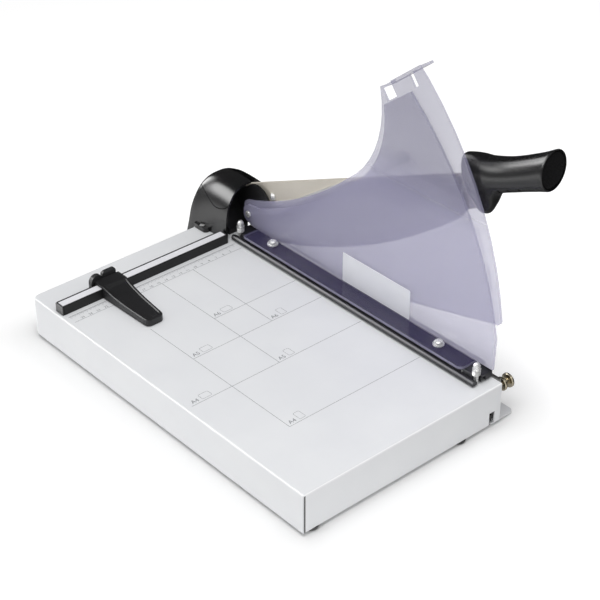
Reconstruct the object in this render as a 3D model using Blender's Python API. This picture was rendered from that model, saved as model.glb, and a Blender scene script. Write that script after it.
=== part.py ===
"""Guillotine paper cutter with a spring clamp, a curved knife and a clear guard.

Metres, +Z up. The origin is the middle of the table's top face. +X points to the
knife side, -Y to the user. Below, the cut frame is the frame of the empty "cutter":
X = 0 is the cutting plane, Y = 0 the zero of the printed scale, Z = 0 the table top.
"""
import math

import bmesh
import bpy
from mathutils import Matrix, Vector

# Fits
CLEAR = 0.0003
RUN_CLEAR = 0.0004
OVERRUN = 0.004

# Table: a folded steel tray, open below
BASE_WIDTH = 0.2645
BASE_LENGTH = 0.441
BASE_HEIGHT = 0.045
SHEET = 0.0015
REAR_OVERHANG = 0.058
REAR_CORNER = 0.008
FRONT_CORNER = 0.0015
TOP_BEND = 0.0022
LIP_WIDTH = 0.016
CORNER_STEPS = 5
SEAM_WIDTH = 0.0006
SHAFT_SLOT_WIDTH = 0.0076
SHAFT_SLOT_HEIGHT = 0.0145

# Feet and the plate that steadies the knife side
FOOT_RADIUS = 0.009
FOOT_DROP = 0.0045
FOOT_STEM_RADIUS = 0.003
FOOT_STEM_LENGTH = 0.0022
FOOT_BUTTON_RADIUS = 0.0045
FOOT_BUTTON_HEIGHT = 0.002
FOOT_PLATE_THICK = 0.002
FOOT_PLATE_REACH = 0.0215
FOOT_PLATE_INSIDE = 0.0125
FOOT_PLATE_FRONT = -0.0015
FOOT_PLATE_CORNER = 0.005

# Bed knife and the rail behind it
BED_KNIFE_THICK = 0.0035
BED_KNIFE_HEIGHT = 0.022
BED_KNIFE_FRONT_GAP = 0.006
BED_KNIFE_REAR = 0.010
RAIL_THICK = 0.0052
RAIL_HEIGHT = 0.024
BED_SCREW_RADIUS = 0.0025
BED_SCREW_HEAD = 0.0048
BED_SCREW_COUNT = 3

# Fence, its white strip and its caps
FENCE_SETBACK = 0.0035
FENCE_WIDTH = 0.013
FENCE_HEIGHT = 0.011
FENCE_LENGTH = 0.2240
FENCE_LEFT_GAP = 0.0035
STRIP_WIDTH = 0.0096
STRIP_THICK = 0.0008
CAP_THICK = 0.0016
FENCE_SCREW_RADIUS = 0.002
FENCE_SCREW_HEAD = 0.0037

# Paper stop
STOP_X = -0.1970
STOP_ROOT_WIDTH = 0.032
STOP_TIP_LEFT = 0.0020
STOP_TIP_RIGHT = 0.0080
STOP_REACH = 0.0765
STOP_HEIGHT = 0.0085
STOP_CROWN = 0.0145
STOP_HOOK = 0.0032
STOP_TIP_CORNER = 0.006
STOP_PANEL_DEPTH = 0.0010
STOP_PANEL_RIM = 0.0024
STOP_STATION_SHARES = (0.0, 0.06, 0.14, 0.24, 0.36, 0.50, 0.65, 0.80, 0.90)
STOP_CORNER_STEPS = 4
EAR_RADIUS = 0.0078
EAR_THICK = 0.0052
EAR_TOP = 0.0200
EAR_INSET = 0.0040
TAB_WIDTH = 0.0175
TAB_HEIGHT = 0.0150
TAB_THICK = 0.0042
TAB_PIN_HEIGHT = 0.0052
TAB_PIN_RADIUS = 0.0011

# Clamp bar on its two posts
CLAMP_LEFT = -0.034
CLAMP_RIGHT = -0.0062
CLAMP_LIFT = 0.0021
CLAMP_HEIGHT = 0.0073
CLAMP_REAR = 0.0058
CLAMP_FRONT = -0.3700
CLAMP_BEAD_WIDTH = 0.0054
CLAMP_BEAD_HEIGHT = 0.0046
CLAMP_GROOVE_WIDTH = 0.0014
CLAMP_GROOVE_HEIGHT = 0.0030
CLAMP_WEB_THICK = 0.0024
CLAMP_BLOCK_WIDTH = 0.0092
CLAMP_FOOT_WIDTH = 0.0124
POST_X = -0.0246
POST_REAR = 0.0006
POST_FRONT = -0.3655
POST_RADIUS = 0.0025
POST_TOP = 0.0232
POST_FLANGE_RADIUS = 0.0050
POST_FLANGE_THICK = 0.0030
NUT_RADIUS = 0.0043
NUT_HEX_HEIGHT = 0.0036
NUT_DOME_HEIGHT = 0.0036
SPRING_RADIUS = 0.0040
SPRING_WIRE = 0.0005
SPRING_TURNS = 4
SPRING_TURN_POINTS = 9
SPRING_SIDES = 6

# Clear guard, bolted on the clamp bar
GUARD_THICK = 0.0029
GUARD_FRONT_X = -0.0095
GUARD_FLANGE_WIDTH = 0.0215
GUARD_FLANGE_REAR = -0.0110
GUARD_FLANGE_FRONT = -0.3500
GUARD_FLANGE_CORNER = 0.006
GUARD_LENGTH = 0.3740
GUARD_HEIGHT = 0.2990
GUARD_BOLT_REAR = -0.0475
GUARD_BOLT_FRONT = -0.3060
GUARD_BOLT_INSET = 0.0085
GUARD_BOLT_RADIUS = 0.0022
GUARD_BOLT_HEAD = 0.0045
GUARD_BOLT_HEAD_HEIGHT = 0.0038
GUARD_WASHER_RADIUS = 0.0062
GUARD_WASHER_THICK = 0.0010
NOSE_BOLT_RADIUS = 0.0022
NOSE_BOLT_HEAD = 0.0042
NOSE_BOLT_HEAD_HEIGHT = 0.0026
NOSE_BOLT_SHARES = (-0.0115, 0.0860)
GUARD_HOOD_DEPTH = 0.0165
GUARD_HOOD_THICK = 0.0026
# Outline tables: share of GUARD_LENGTH forward of the zero line, share of GUARD_HEIGHT
# above the table, and the bulge of the edge to the next point as a share of that edge.
FRONT_PLATE_SHARES = (
    (0.012, 0.0400, 0.0), (0.9965, 0.0400, 0.0), (0.9990, 0.1605, -0.0855),
    (0.6504, 0.9023, 0.0), (0.5560, 0.8130, 0.150),
    (0.4330, 0.4520, 0.045), (0.0350, 0.1320, 0.0), (-0.0150, 0.1240, -0.20),
    (-0.0340, 0.0900, -0.20), (-0.0150, 0.0500, 0.0),
)
REAR_PLATE_SHARES = (
    (0.012, 0.0420, 0.0), (0.480, 0.0420, 0.0), (0.9880, 0.2140, -0.25),
    (1.0040, 0.2360, -0.084), (0.7000, 0.9670, 0.0), (0.6680, 1.0000, 0.0),
    (0.5310, 0.8640, 0.150), (0.4180, 0.4640, 0.052), (0.0, 0.1440, 0.0),
    (-0.0270, 0.1340, -0.20), (-0.0400, 0.1030, -0.20), (-0.0200, 0.0500, 0.0),
)
ARC_STEPS = 9
WINDOW_SHARES = (0.564, 0.862)
WINDOW_SIZE = 0.0165
SLOT_SHARES = (0.652, 0.943)
SLOT_LENGTH = 0.0150
SLOT_WIDTH = 0.0070
CATCH_SHARES = ((0.8960, 0.4760), (0.9350, 0.3630))
CATCH_END_SHARES = ((0.9560, 0.2700),)
CATCH_LENGTH = 0.0250
CATCH_WIDTH = 0.0110
CATCH_THICK = 0.0012

# Pivot bracket and bolt
PIVOT_Y = 0.040
PIVOT_Z = 0.020
BRACKET_LEFT = -0.0280
BRACKET_FRONT = 0.0165
BRACKET_REAR = 0.0560
BRACKET_HEIGHT = 0.0360
BRACKET_TOE = 0.0060
CHEEK_THICK = 0.0024
CHEEK_GAP = 0.0006
CHEEK_NOSE_RADIUS = 0.0220
CHEEK_NOSE_Y = -0.0030
CHEEK_NOSE_Z = 0.0405
PIVOT_RADIUS = 0.0050
PIVOT_HEAD_RADIUS = 0.0085
PIVOT_HEAD_HEIGHT = 0.0050
BUSH_RADIUS = 0.0110
WASHER_RADIUS = 0.0120
WASHER_THICK = 0.0015
SPRING_WASHER_RADIUS = 0.0105
SPRING_WASHER_HEIGHT = 0.0020
LOCK_NUT_RADIUS = 0.0082
LOCK_NUT_HEIGHT = 0.0062
BRACKET_SCREW_RADIUS = 0.0025
BRACKET_SCREW_HEAD = 0.0044
BRACKET_SCREW_HEAD_HEIGHT = 0.0032

# Blade arm, drawn along the arm from the pivot (a) and across it (b)
REST_ANGLE = math.radians(24.5)
ARM_THICK = 0.0050
ARM_HUB = 0.0220
ARM_BELLY = 0.0240
ARM_LENGTH = 0.3945
ARM_END_SLANT = 0.0062
ARM_TANG_LENGTH = 0.0720
ARM_TANG_ROOT = 0.0450
ARM_TANG_THICK = 0.0050
ARM_TANG_HIGH = 0.0190
ARM_TANG_LOW = 0.0060
KNIFE_THICK = 0.0030
KNIFE_REAR = 0.0175
KNIFE_FRONT = 0.3870
KNIFE_EDGE_END = 0.3746
KNIFE_ARC_RADIUS = 0.7500
KNIFE_DEEPEST = 0.1576
KNIFE_DEPTH = 0.0529
KNIFE_TOP_REAR = 0.0002
KNIFE_TOP_FRONT = 0.0203
KNIFE_RAMP_START = 0.1040
KNIFE_RAMP_END = 0.2080
KNIFE_BLUNT = 0.0130
KNIFE_GRIND = 0.0060
KNIFE_EDGE_THICK = 0.0003
KNIFE_ARC_STEPS = 26
KNIFE_SCREW_PLACES = ((0.0560, -0.0150), (0.1756, 0.0080), (0.3050, 0.0060))
KNIFE_SCREW_RADIUS = 0.0025
KNIFE_SCREW_HEAD = 0.0045
KNIFE_SCREW_HEAD_HEIGHT = 0.0019
ARM_BOLT_PLACE = (0.0728, 0.0056)
ARM_BOLT_HEAD = 0.0042
ARM_BOLT_HEAD_HEIGHT = 0.0028
TAB_BAR_START = 0.3630
TAB_BAR_LOW = 0.0056
TAB_BAR_HIGH = 0.0131
TAB_BAR_THICK = 0.0019

# Handle: stations along the arm
HANDLE_X = 0.0150
HANDLE_START = 0.3935
HANDLE_LENGTH = 0.1035
HANDLE_WIDTH = 0.0350
HANDLE_TILT = math.radians(17)
HANDLE_INNER_TILT = math.radians(11)
HANDLE_POINTS = 28
HANDLE_STEPS = 3
# Share of the length, then centre, half height and half width as shares of the width,
# then how far the lower half narrows.
HANDLE_SHARES = (
    (0.000, 0.200, 0.760, 0.350, 0.35), (0.045, 0.220, 0.865, 0.395, 0.35),
    (0.130, 0.217, 0.835, 0.420, 0.32), (0.215, 0.285, 0.715, 0.440, 0.20),
    (0.330, 0.405, 0.495, 0.455, 0.04), (0.560, 0.403, 0.445, 0.445, 0.00),
    (0.860, 0.431, 0.475, 0.471, 0.00), (1.000, 0.455, 0.520, 0.500, 0.00),
)
HANDLE_DISH_SHARE = 0.86
HANDLE_DISH_DEPTH = 0.0016
GROOVE_WIDTH = 0.0022
GROOVE_DEPTH = 0.0042
GROOVE_LEAN = math.radians(35)
GROOVE_SHARES = (0.33, 0.46, 0.60)

# Hood over the pivot
HOOD_X = -0.0060
HOOD_HALF_WIDTH = 0.0330
HOOD_HEIGHT = 0.0640
HOOD_FRONT = 0.0090
HOOD_LENGTH = 0.0640
HOOD_WALL = 0.0024
HOOD_SKIRT = 0.0120
HOOD_SLOT_LEFT = -0.0010
HOOD_SLOT_RIGHT = 0.0110
HOOD_SLOT_REAR = 0.0570
HOOD_POINTS = 22
HOOD_SQUARENESS = 2.5
# Share of the length, then width and height as shares of the largest
HOOD_SHARES = (
    (0.0, 0.985, 0.985), (0.20, 1.0, 1.0), (0.50, 1.0, 1.0), (0.64, 1.0, 0.965),
    (0.766, 1.0, 0.915), (0.87, 0.995, 0.83), (0.94, 0.975, 0.70), (0.985, 0.94, 0.52),
    (1.0, 0.90, 0.38),
)
# Seam between the two hood shells: share of the length, height share
SEAM_SHARES = (
    (-0.20, 0.80), (0.0, 0.66), (0.10, 0.585), (0.22, 0.548), (0.38, 0.548), (0.52, 0.60),
    (0.68, 0.665), (0.85, 0.72), (1.20, 0.80),
)
LUG_WIDTH = 0.0085
LUG_LENGTH = 0.0200
LUG_HEIGHT = 0.0060
LUG_Y = 0.0470
LUG_SCREW_RADIUS = 0.0018
LUG_SCREW_HEAD = 0.0036
LUG_SCREW_HEAD_HEIGHT = 0.0024

# Rock shaft under the table, which lifts the clamp
SHAFT_X = -0.0167
SHAFT_Z = -0.0372
SHAFT_RADIUS = 0.0030
SHAFT_FRONT_INSET = 0.0010
SHAFT_REAR = 0.0400
CRANK_RADIUS = 0.0058
CRANK_WIDTH = 0.0080
CRANK_LENGTH = 0.0085
CRANK_PAD_THICK = 0.0026
LIFT_PIN_RADIUS = 0.0018
LIFT_PIN_FRONT = -0.3480
LIFT_PIN_REAR = -0.0200
CAM_Y = 0.0300
CAM_WIDTH = 0.0060
CAM_REACH = 0.0245
CAM_RISE = 0.0270
CAM_THICK = 0.0050
CAM_WINDOW_CLEAR = 0.0030
BEARING_WIDTH = 0.0090
BEARING_WALL = 0.0026
BEARING_LENGTH = 0.0080
BEARING_FRONT = -0.3300
BEARING_REAR = 0.0080

# Lock knob on the knife side
LOCK_Y = -0.3720
LOCK_Z = -0.0125
LOCK_PIN_RADIUS = 0.0022
LOCK_DISC_RADIUS = 0.0076
LOCK_WAIST_RADIUS = 0.0038
LOCK_DISC_THICK = 0.0030
LOCK_KNOB_START = 0.0056
LOCK_KNOB_LENGTH = 0.0125
LOCK_PIN_INSIDE = 0.0190
LOCK_BUSH_RADIUS = 0.0042
LOCK_BUSH_FLANGE = 0.0056
LOCK_BUSH_OUT = 0.0032
LOCK_COLLAR_RADIUS = 0.0036
LOCK_COLLAR_THICK = 0.0016

# Derived places in the cut frame
BASE_RIGHT = -BED_KNIFE_THICK - CLEAR
BASE_LEFT = BASE_RIGHT - BASE_WIDTH
BASE_REAR = REAR_OVERHANG
BASE_FRONT = BASE_REAR - BASE_LENGTH
FENCE_LEFT = BASE_LEFT + FENCE_LEFT_GAP
FENCE_BACK = FENCE_SETBACK + FENCE_WIDTH
CLAMP_BOTTOM = CLAMP_LIFT
CLAMP_TOP = CLAMP_LIFT + CLAMP_HEIGHT
CHEEK_RIGHT = -CHEEK_GAP
CHEEK_LEFT = CHEEK_RIGHT - CHEEK_THICK
KNIFE_LEFT = CLEAR
ARM_LEFT = KNIFE_LEFT + KNIFE_THICK + CLEAR
ARM_RIGHT = ARM_LEFT + ARM_THICK

# Colour, roughness and metallic value of each finish
FINISHES = {
    "light_paint": ((0.72, 0.73, 0.76, 1.0), 0.42, 0.0),
    "bright_steel": ((0.62, 0.62, 0.60, 1.0), 0.32, 1.0),
    "arm_paint": ((0.55, 0.53, 0.48, 1.0), 0.45, 0.3),
    "black_plastic": ((0.020, 0.020, 0.023, 1.0), 0.38, 0.0),
    "black_paint": ((0.012, 0.012, 0.013, 1.0), 0.50, 0.0),
    "clamp_paint": ((0.030, 0.030, 0.033, 1.0), 0.40, 0.2),
    "white_strip": ((0.85, 0.85, 0.87, 1.0), 0.45, 0.0),
    "smoked_clear": ((0.42, 0.40, 0.55, 0.45), 0.10, 0.0),
    "rubber": ((0.03, 0.03, 0.03, 1.0), 0.80, 0.0),
    "zinc": ((0.75, 0.75, 0.74, 1.0), 0.28, 1.0),
    "nickel_brass": ((0.58, 0.52, 0.40, 1.0), 0.25, 1.0),
}


def clear_scene():
    for thing in list(bpy.data.objects):
        bpy.data.objects.remove(thing, do_unlink=True)


def finish(name):
    found = bpy.data.materials.get(name)
    if found:
        return found
    colour, roughness, metallic = FINISHES[name]
    made = bpy.data.materials.new(name)
    made.use_nodes = True
    shader = made.node_tree.nodes["Principled BSDF"]
    shader.inputs["Base Color"].default_value = colour
    shader.inputs["Roughness"].default_value = roughness
    shader.inputs["Metallic"].default_value = metallic
    shader.inputs["Alpha"].default_value = colour[3]
    return made


def empty(name, parent=None, location=(0, 0, 0), rotation=(0, 0, 0)):
    made = bpy.data.objects.new(name, None)
    bpy.context.scene.collection.objects.link(made)
    made.parent = parent
    made.location = location
    made.rotation_euler = rotation
    return made


def place(name, bm, parent, location=(0, 0, 0), rotation=(0, 0, 0)):
    bmesh.ops.recalc_face_normals(bm, faces=bm.faces)
    mesh = bpy.data.meshes.new(name)
    bm.to_mesh(mesh)
    bm.free()
    made = bpy.data.objects.new(name, mesh)
    bpy.context.scene.collection.objects.link(made)
    made.parent = parent
    made.location = location
    made.rotation_euler = rotation
    return made


def piece(name, bm, look, parent, location=(0, 0, 0), rotation=(0, 0, 0), smooth=True):
    made = place(name, bm, parent, location, rotation)
    made.data.materials.append(finish(look))
    if smooth:
        made.data.shade_smooth()
        made.data.set_sharp_from_angle(angle=math.radians(35))
    return made


def boolean(target, bm, operation="DIFFERENCE", location=(0, 0, 0), rotation=(0, 0, 0)):
    """Cut a shape from a piece, or join it, in the frame of the piece's parent."""
    count = len(target.modifiers)
    tool = place(f"{target.name}_tool_{count}", bm, target.parent, location, rotation)
    tool.hide_render = True
    tool.display_type = "WIRE"
    step = target.modifiers.new(f"tool_{count}", "BOOLEAN")
    step.object = tool
    step.operation = operation
    step.solver = "EXACT"
    return target


def bevel(target, width, segments=1, angle=50):
    step = target.modifiers.new("edges", "BEVEL")
    step.width = width
    step.segments = segments
    step.limit_method = "ANGLE"
    step.angle_limit = math.radians(angle)
    return target


def loft(rings, closed_ends=True):
    """A skin over rings of equally many points."""
    bm = bmesh.new()
    rows = [[bm.verts.new(point) for point in ring] for ring in rings]
    size = len(rows[0])
    for low, high in zip(rows, rows[1:]):
        for here in range(size):
            there = (here + 1) % size
            bm.faces.new((low[here], low[there], high[there], high[here]))
    if closed_ends:
        bm.faces.new(rows[0])
        bm.faces.new(rows[-1])
    return bm


def prism_x(outline, left, right):
    """An outline of (y, z) points between two X planes."""
    return loft([[(x, y, z) for y, z in outline] for x in (left, right)])


def prism_y(outline, front, rear):
    return loft([[(x, y, z) for x, z in outline] for y in (front, rear)])


def prism_z(outline, low, high):
    return loft([[(x, y, z) for x, y in outline] for z in (low, high)])


def block(x, y, z):
    """A box from three (low, high) pairs."""
    return prism_z([(x[0], y[0]), (x[1], y[0]), (x[1], y[1]), (x[0], y[1])], z[0], z[1])


def arc(centre, radius, start, end, steps):
    """Points on a circle between two angles in radians."""
    turn = [start + (end - start) * step / steps for step in range(steps + 1)]
    return [(centre[0] + radius * math.cos(t), centre[1] + radius * math.sin(t)) for t in turn]


def bulged(start, end, share, steps):
    """Points from start up to end, on an arc whose height is a share of the chord."""
    if not share:
        return [start]
    chord = Vector((end[0] - start[0], end[1] - start[1]))
    side = Vector((chord.y, -chord.x))
    half_turn = 2 * math.atan(2 * share)
    points = []
    for step in range(steps):
        along = step / steps
        turn = half_turn * (2 * along - 1)
        run = 0.5 + 0.5 * math.sin(turn) / math.sin(half_turn)
        rise = share * (math.cos(turn) - math.cos(half_turn)) / (1 - math.cos(half_turn))
        points.append((start[0] + chord.x * run + side.x * rise,
                       start[1] + chord.y * run + side.y * rise))
    return points


def shared_outline(table, length, height):
    corners = [(-u * length, v * height) for u, v, _ in table]
    points = []
    for number, entry in enumerate(table):
        following = corners[(number + 1) % len(corners)]
        points += bulged(corners[number], following, entry[2], ARC_STEPS)
    return points


def rounded_box(left, right, front, rear, radii, steps=CORNER_STEPS):
    """Rectangle with its own radius at front left, front right, rear right, rear left."""
    corners = ((left, front, 1, 1, 1.0), (right, front, -1, 1, 1.5),
               (right, rear, -1, -1, 0.0), (left, rear, 1, -1, 0.5))
    points = []
    for (x, y, sx, sy, quarter), radius in zip(corners, radii):
        centre = (x + sx * radius, y + sy * radius)
        begin = quarter * math.pi
        points += arc(centre, radius, begin, begin + math.pi / 2, steps)
    return points


def turned(profile, sides=20):
    """Revolve (radius, height) points round Z; a zero radius closes an end."""
    bm = bmesh.new()
    rows = []
    for radius, height in profile:
        if radius <= 0:
            rows.append([bm.verts.new((0, 0, height))])
            continue
        rows.append([bm.verts.new((radius * math.cos(2 * math.pi * k / sides),
                                   radius * math.sin(2 * math.pi * k / sides), height))
                     for k in range(sides)])
    pairs = list(zip(rows, rows[1:]))
    if profile[0][0] > 0:
        if profile[0] == profile[-1]:
            pairs[-1] = (rows[-2], rows[0])
            bmesh.ops.delete(bm, geom=rows[-1], context="VERTS")
        else:
            bm.faces.new(rows[0])
            bm.faces.new(rows[-1])
    for low, high in pairs:
        for k in range(sides):
            following = (k + 1) % sides
            if len(low) == 1:
                bm.faces.new((low[0], high[k], high[following]))
            elif len(high) == 1:
                bm.faces.new((low[k], low[following], high[0]))
            else:
                bm.faces.new((low[k], low[following], high[following], high[k]))
    return bm


def rod(radius, low, high, sides=20):
    return turned([(radius, low), (radius, high)], sides)


def tube(outer, inner, low, high, sides=20):
    return turned([(outer, low), (outer, high), (inner, high), (inner, low), (outer, low)], sides)


def hexagon(radius):
    return [(radius * math.cos(math.radians(60 * k)), radius * math.sin(math.radians(60 * k)))
            for k in range(6)]


ALONG_X = (0, math.radians(90), 0)
ALONG_Y = (math.radians(-90), 0, 0)


def screw(name, look, parent, location, rotation, sizes, sides=16):
    """Shank from 0 down, domed head with a cross recess left to the finish."""
    shank, length, head, height = sizes
    profile = [(0, -length), (shank, -length), (shank, 0), (head, 0), (head, height * 0.35)]
    profile += [(head * math.cos(math.radians(t)), height * (0.35 + 0.65 * math.sin(math.radians(t))))
                for t in (30, 60)]
    profile += [(0, height)]
    return piece(name, turned(profile, sides), look, parent, location, rotation)


def coil(radius, wire, low, high, turns, sides=SPRING_SIDES):
    """One unbroken wire round Z between two heights."""
    count = turns * SPRING_TURN_POINTS
    centres = []
    for step in range(count + 1):
        turn = 2 * math.pi * step / SPRING_TURN_POINTS
        rise = low + wire + (high - low - 2 * wire) * step / count
        centres.append((turn, Vector((radius * math.cos(turn), radius * math.sin(turn), rise))))
    rings = []
    for turn, centre in centres:
        outward = Vector((math.cos(turn), math.sin(turn), 0))
        rings.append([centre + outward * wire * math.cos(2 * math.pi * k / sides)
                      + Vector((0, 0, wire * math.sin(2 * math.pi * k / sides)))
                      for k in range(sides)])
    return loft(rings)


def base_ring(inset, height):
    radii = [max(radius - inset, FRONT_CORNER / 5) for radius in
             (FRONT_CORNER, FRONT_CORNER, REAR_CORNER, REAR_CORNER)]
    outline = rounded_box(BASE_LEFT + inset, BASE_RIGHT - inset, BASE_FRONT + inset,
                          BASE_REAR - inset, radii)
    return [(x, y, height) for x, y in outline]


def make_base(root):
    """Tray with a bent top edge, inward lips, a corner seam and the rock shaft's slot."""
    floor = -BASE_HEIGHT
    rings = [base_ring(SHEET, -SHEET), base_ring(SHEET, floor + SHEET),
             base_ring(LIP_WIDTH, floor + SHEET), base_ring(LIP_WIDTH, floor),
             base_ring(0, floor), base_ring(0, -TOP_BEND)]
    for step in (1, 2, 3):
        turn = math.radians(30 * step)
        rings.append(base_ring(TOP_BEND * (1 - math.cos(turn)), -TOP_BEND * (1 - math.sin(turn))))
    tray = piece("base_tray", loft(rings), "light_paint", root)
    seam = block((BASE_LEFT - OVERRUN, BASE_LEFT + SEAM_WIDTH),
                 (BASE_FRONT - OVERRUN, BASE_FRONT + SEAM_WIDTH),
                 (floor - OVERRUN, -TOP_BEND))
    boolean(tray, seam)
    slot = block((SHAFT_X - SHAFT_SLOT_WIDTH / 2, SHAFT_X + SHAFT_SLOT_WIDTH / 2),
                 (BASE_FRONT - OVERRUN, BASE_FRONT + LIP_WIDTH + OVERRUN),
                 (floor - OVERRUN, floor + SHAFT_SLOT_HEIGHT))
    boolean(tray, slot)
    for y in (POST_FRONT, POST_REAR):
        boolean(tray, rod(POST_RADIUS + CLEAR, -OVERRUN, OVERRUN), location=(POST_X, y, 0))
    for y in (LIFT_PIN_FRONT, LIFT_PIN_REAR):
        boolean(tray, rod(LIFT_PIN_RADIUS + RUN_CLEAR, -OVERRUN, OVERRUN),
                location=(SHAFT_X - CRANK_LENGTH, y, 0))
    for x in fence_screw_places():
        boolean(tray, rod(FENCE_SCREW_RADIUS + CLEAR, -OVERRUN, OVERRUN),
                location=(x, fence_middle(), 0))
    for y in bracket_screw_places():
        boolean(tray, rod(BRACKET_SCREW_RADIUS + CLEAR, -OVERRUN, OVERRUN),
                location=(bracket_screw_x(), y, 0))
    boolean(tray, rod(LUG_SCREW_RADIUS + CLEAR, -OVERRUN, OVERRUN), location=(lug_x(), LUG_Y, 0))
    for y in bed_screw_places():
        boolean(tray, rod(BED_SCREW_RADIUS + CLEAR, -OVERRUN, OVERRUN),
                location=(BASE_RIGHT, y, bed_screw_height()), rotation=ALONG_X)
    boolean(tray, rod(LOCK_BUSH_RADIUS + CLEAR, -OVERRUN, OVERRUN),
            location=(BASE_RIGHT, LOCK_Y, LOCK_Z), rotation=ALONG_X)
    boolean(tray, block((BASE_RIGHT - OVERRUN, BASE_RIGHT + OVERRUN), cam_window()[0], cam_window()[1]))
    for x, y in foot_places():
        boolean(tray, rod(FOOT_STEM_RADIUS + CLEAR, -OVERRUN, OVERRUN), location=(x, y, floor))
    return tray


def cam_window():
    half = CAM_WIDTH / 2 + CAM_WINDOW_CLEAR
    middle = SHAFT_Z + CAM_RISE - CAM_THICK / 2
    tall = CAM_THICK / 2 + 2 * CAM_WINDOW_CLEAR
    return (CAM_Y - half, CAM_Y + half), (middle - tall, middle + tall)


def fence_middle():
    return FENCE_SETBACK + FENCE_WIDTH / 2


def fence_screw_places():
    return (FENCE_LEFT + FENCE_LENGTH * 0.1, FENCE_LEFT + FENCE_LENGTH * 0.9)


def bracket_screw_x():
    return (BRACKET_LEFT + CHEEK_LEFT) / 2


def bracket_screw_places():
    return (BRACKET_FRONT + BRACKET_TOE, BRACKET_REAR - BRACKET_TOE)


def bed_screw_height():
    return -BED_KNIFE_HEIGHT / 2


def bed_screw_places():
    first = BASE_FRONT + BED_KNIFE_FRONT_GAP
    span = BED_KNIFE_REAR - first
    return [first + span * (k + 0.5) / BED_SCREW_COUNT for k in range(BED_SCREW_COUNT)]


def lug_x():
    return HOOD_X - HOOD_HALF_WIDTH - LUG_WIDTH / 2


def foot_places():
    near = LIP_WIDTH / 2
    return [(BASE_LEFT + LIP_WIDTH, BASE_FRONT + near), (BASE_LEFT + LIP_WIDTH, BASE_REAR - near),
            (BASE_RIGHT - BASE_WIDTH / 5, BASE_FRONT + near),
            (BASE_RIGHT - BASE_WIDTH / 5, BASE_REAR - near)]


def make_feet(root):
    names = ("foot_front_left", "foot_rear_left", "foot_front_right", "foot_rear_right")
    inside = SHEET + CLEAR + FOOT_BUTTON_HEIGHT
    profile = [(0, -FOOT_DROP), (FOOT_RADIUS * 0.8, -FOOT_DROP), (FOOT_RADIUS * 0.88, -FOOT_DROP * 0.9),
               (FOOT_RADIUS, -CLEAR), (FOOT_STEM_RADIUS, -CLEAR), (FOOT_STEM_RADIUS, SHEET + CLEAR),
               (FOOT_BUTTON_RADIUS, SHEET + CLEAR), (FOOT_STEM_RADIUS * 0.8, inside), (0, inside)]
    for name, (x, y) in zip(names, foot_places()):
        piece(name, turned(profile), "rubber", root, (x, y, -BASE_HEIGHT))


def make_foot_plate(root):
    """Steel strip under the knife side, wider than the table so that it cannot tip."""
    left = BASE_RIGHT - FOOT_PLATE_INSIDE
    right = BASE_RIGHT + FOOT_PLATE_REACH
    top = -BASE_HEIGHT - CLEAR
    outline = rounded_box(left, right, BASE_FRONT - FOOT_PLATE_FRONT, BASE_REAR - REAR_CORNER,
                          (FRONT_CORNER, FOOT_PLATE_CORNER, FOOT_PLATE_CORNER, FRONT_CORNER))
    piece("side_foot_plate", prism_z(outline, top - FOOT_PLATE_THICK, top), "light_paint", root)


def make_bed(root):
    front = BASE_FRONT + BED_KNIFE_FRONT_GAP
    knife = piece("bed_knife", block((-BED_KNIFE_THICK, 0), (front, BED_KNIFE_REAR),
                                     (-BED_KNIFE_HEIGHT, 0)), "bright_steel", root, smooth=False)
    boolean(knife, rod(LOCK_BUSH_FLANGE + CLEAR, -BED_KNIFE_THICK - OVERRUN, OVERRUN),
            location=(0, LOCK_Y, LOCK_Z), rotation=ALONG_X)
    rail_right = BASE_RIGHT - SHEET - CLEAR
    rail_top = -SHEET - CLEAR
    rail = piece("knife_rail", block((rail_right - RAIL_THICK, rail_right),
                                     (front + LIP_WIDTH, BED_KNIFE_REAR),
                                     (rail_top - RAIL_HEIGHT, rail_top)),
                 "black_paint", root, smooth=False)
    depth = BED_KNIFE_THICK + CLEAR + SHEET + CLEAR + RAIL_THICK
    cone = BED_SCREW_HEAD - BED_SCREW_RADIUS
    sink = CLEAR
    bore = [(BED_SCREW_HEAD + CLEAR, OVERRUN), (BED_SCREW_HEAD + CLEAR, -sink),
            (BED_SCREW_RADIUS + CLEAR, -sink - cone), (BED_SCREW_RADIUS + CLEAR, -depth - OVERRUN)]
    shape = [(0, -sink), (BED_SCREW_HEAD - CLEAR, -sink), (BED_SCREW_RADIUS, -sink - cone),
             (BED_SCREW_RADIUS, -depth), (0, -depth)]
    for number, y in enumerate(bed_screw_places(), 1):
        spot = (0, y, bed_screw_height())
        for target in (knife, rail):
            boolean(target, turned(bore, 16), location=spot, rotation=ALONG_X)
        piece(f"bed_knife_screw_{number}", turned(shape, 16), "bright_steel", root, spot, ALONG_X)


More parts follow.
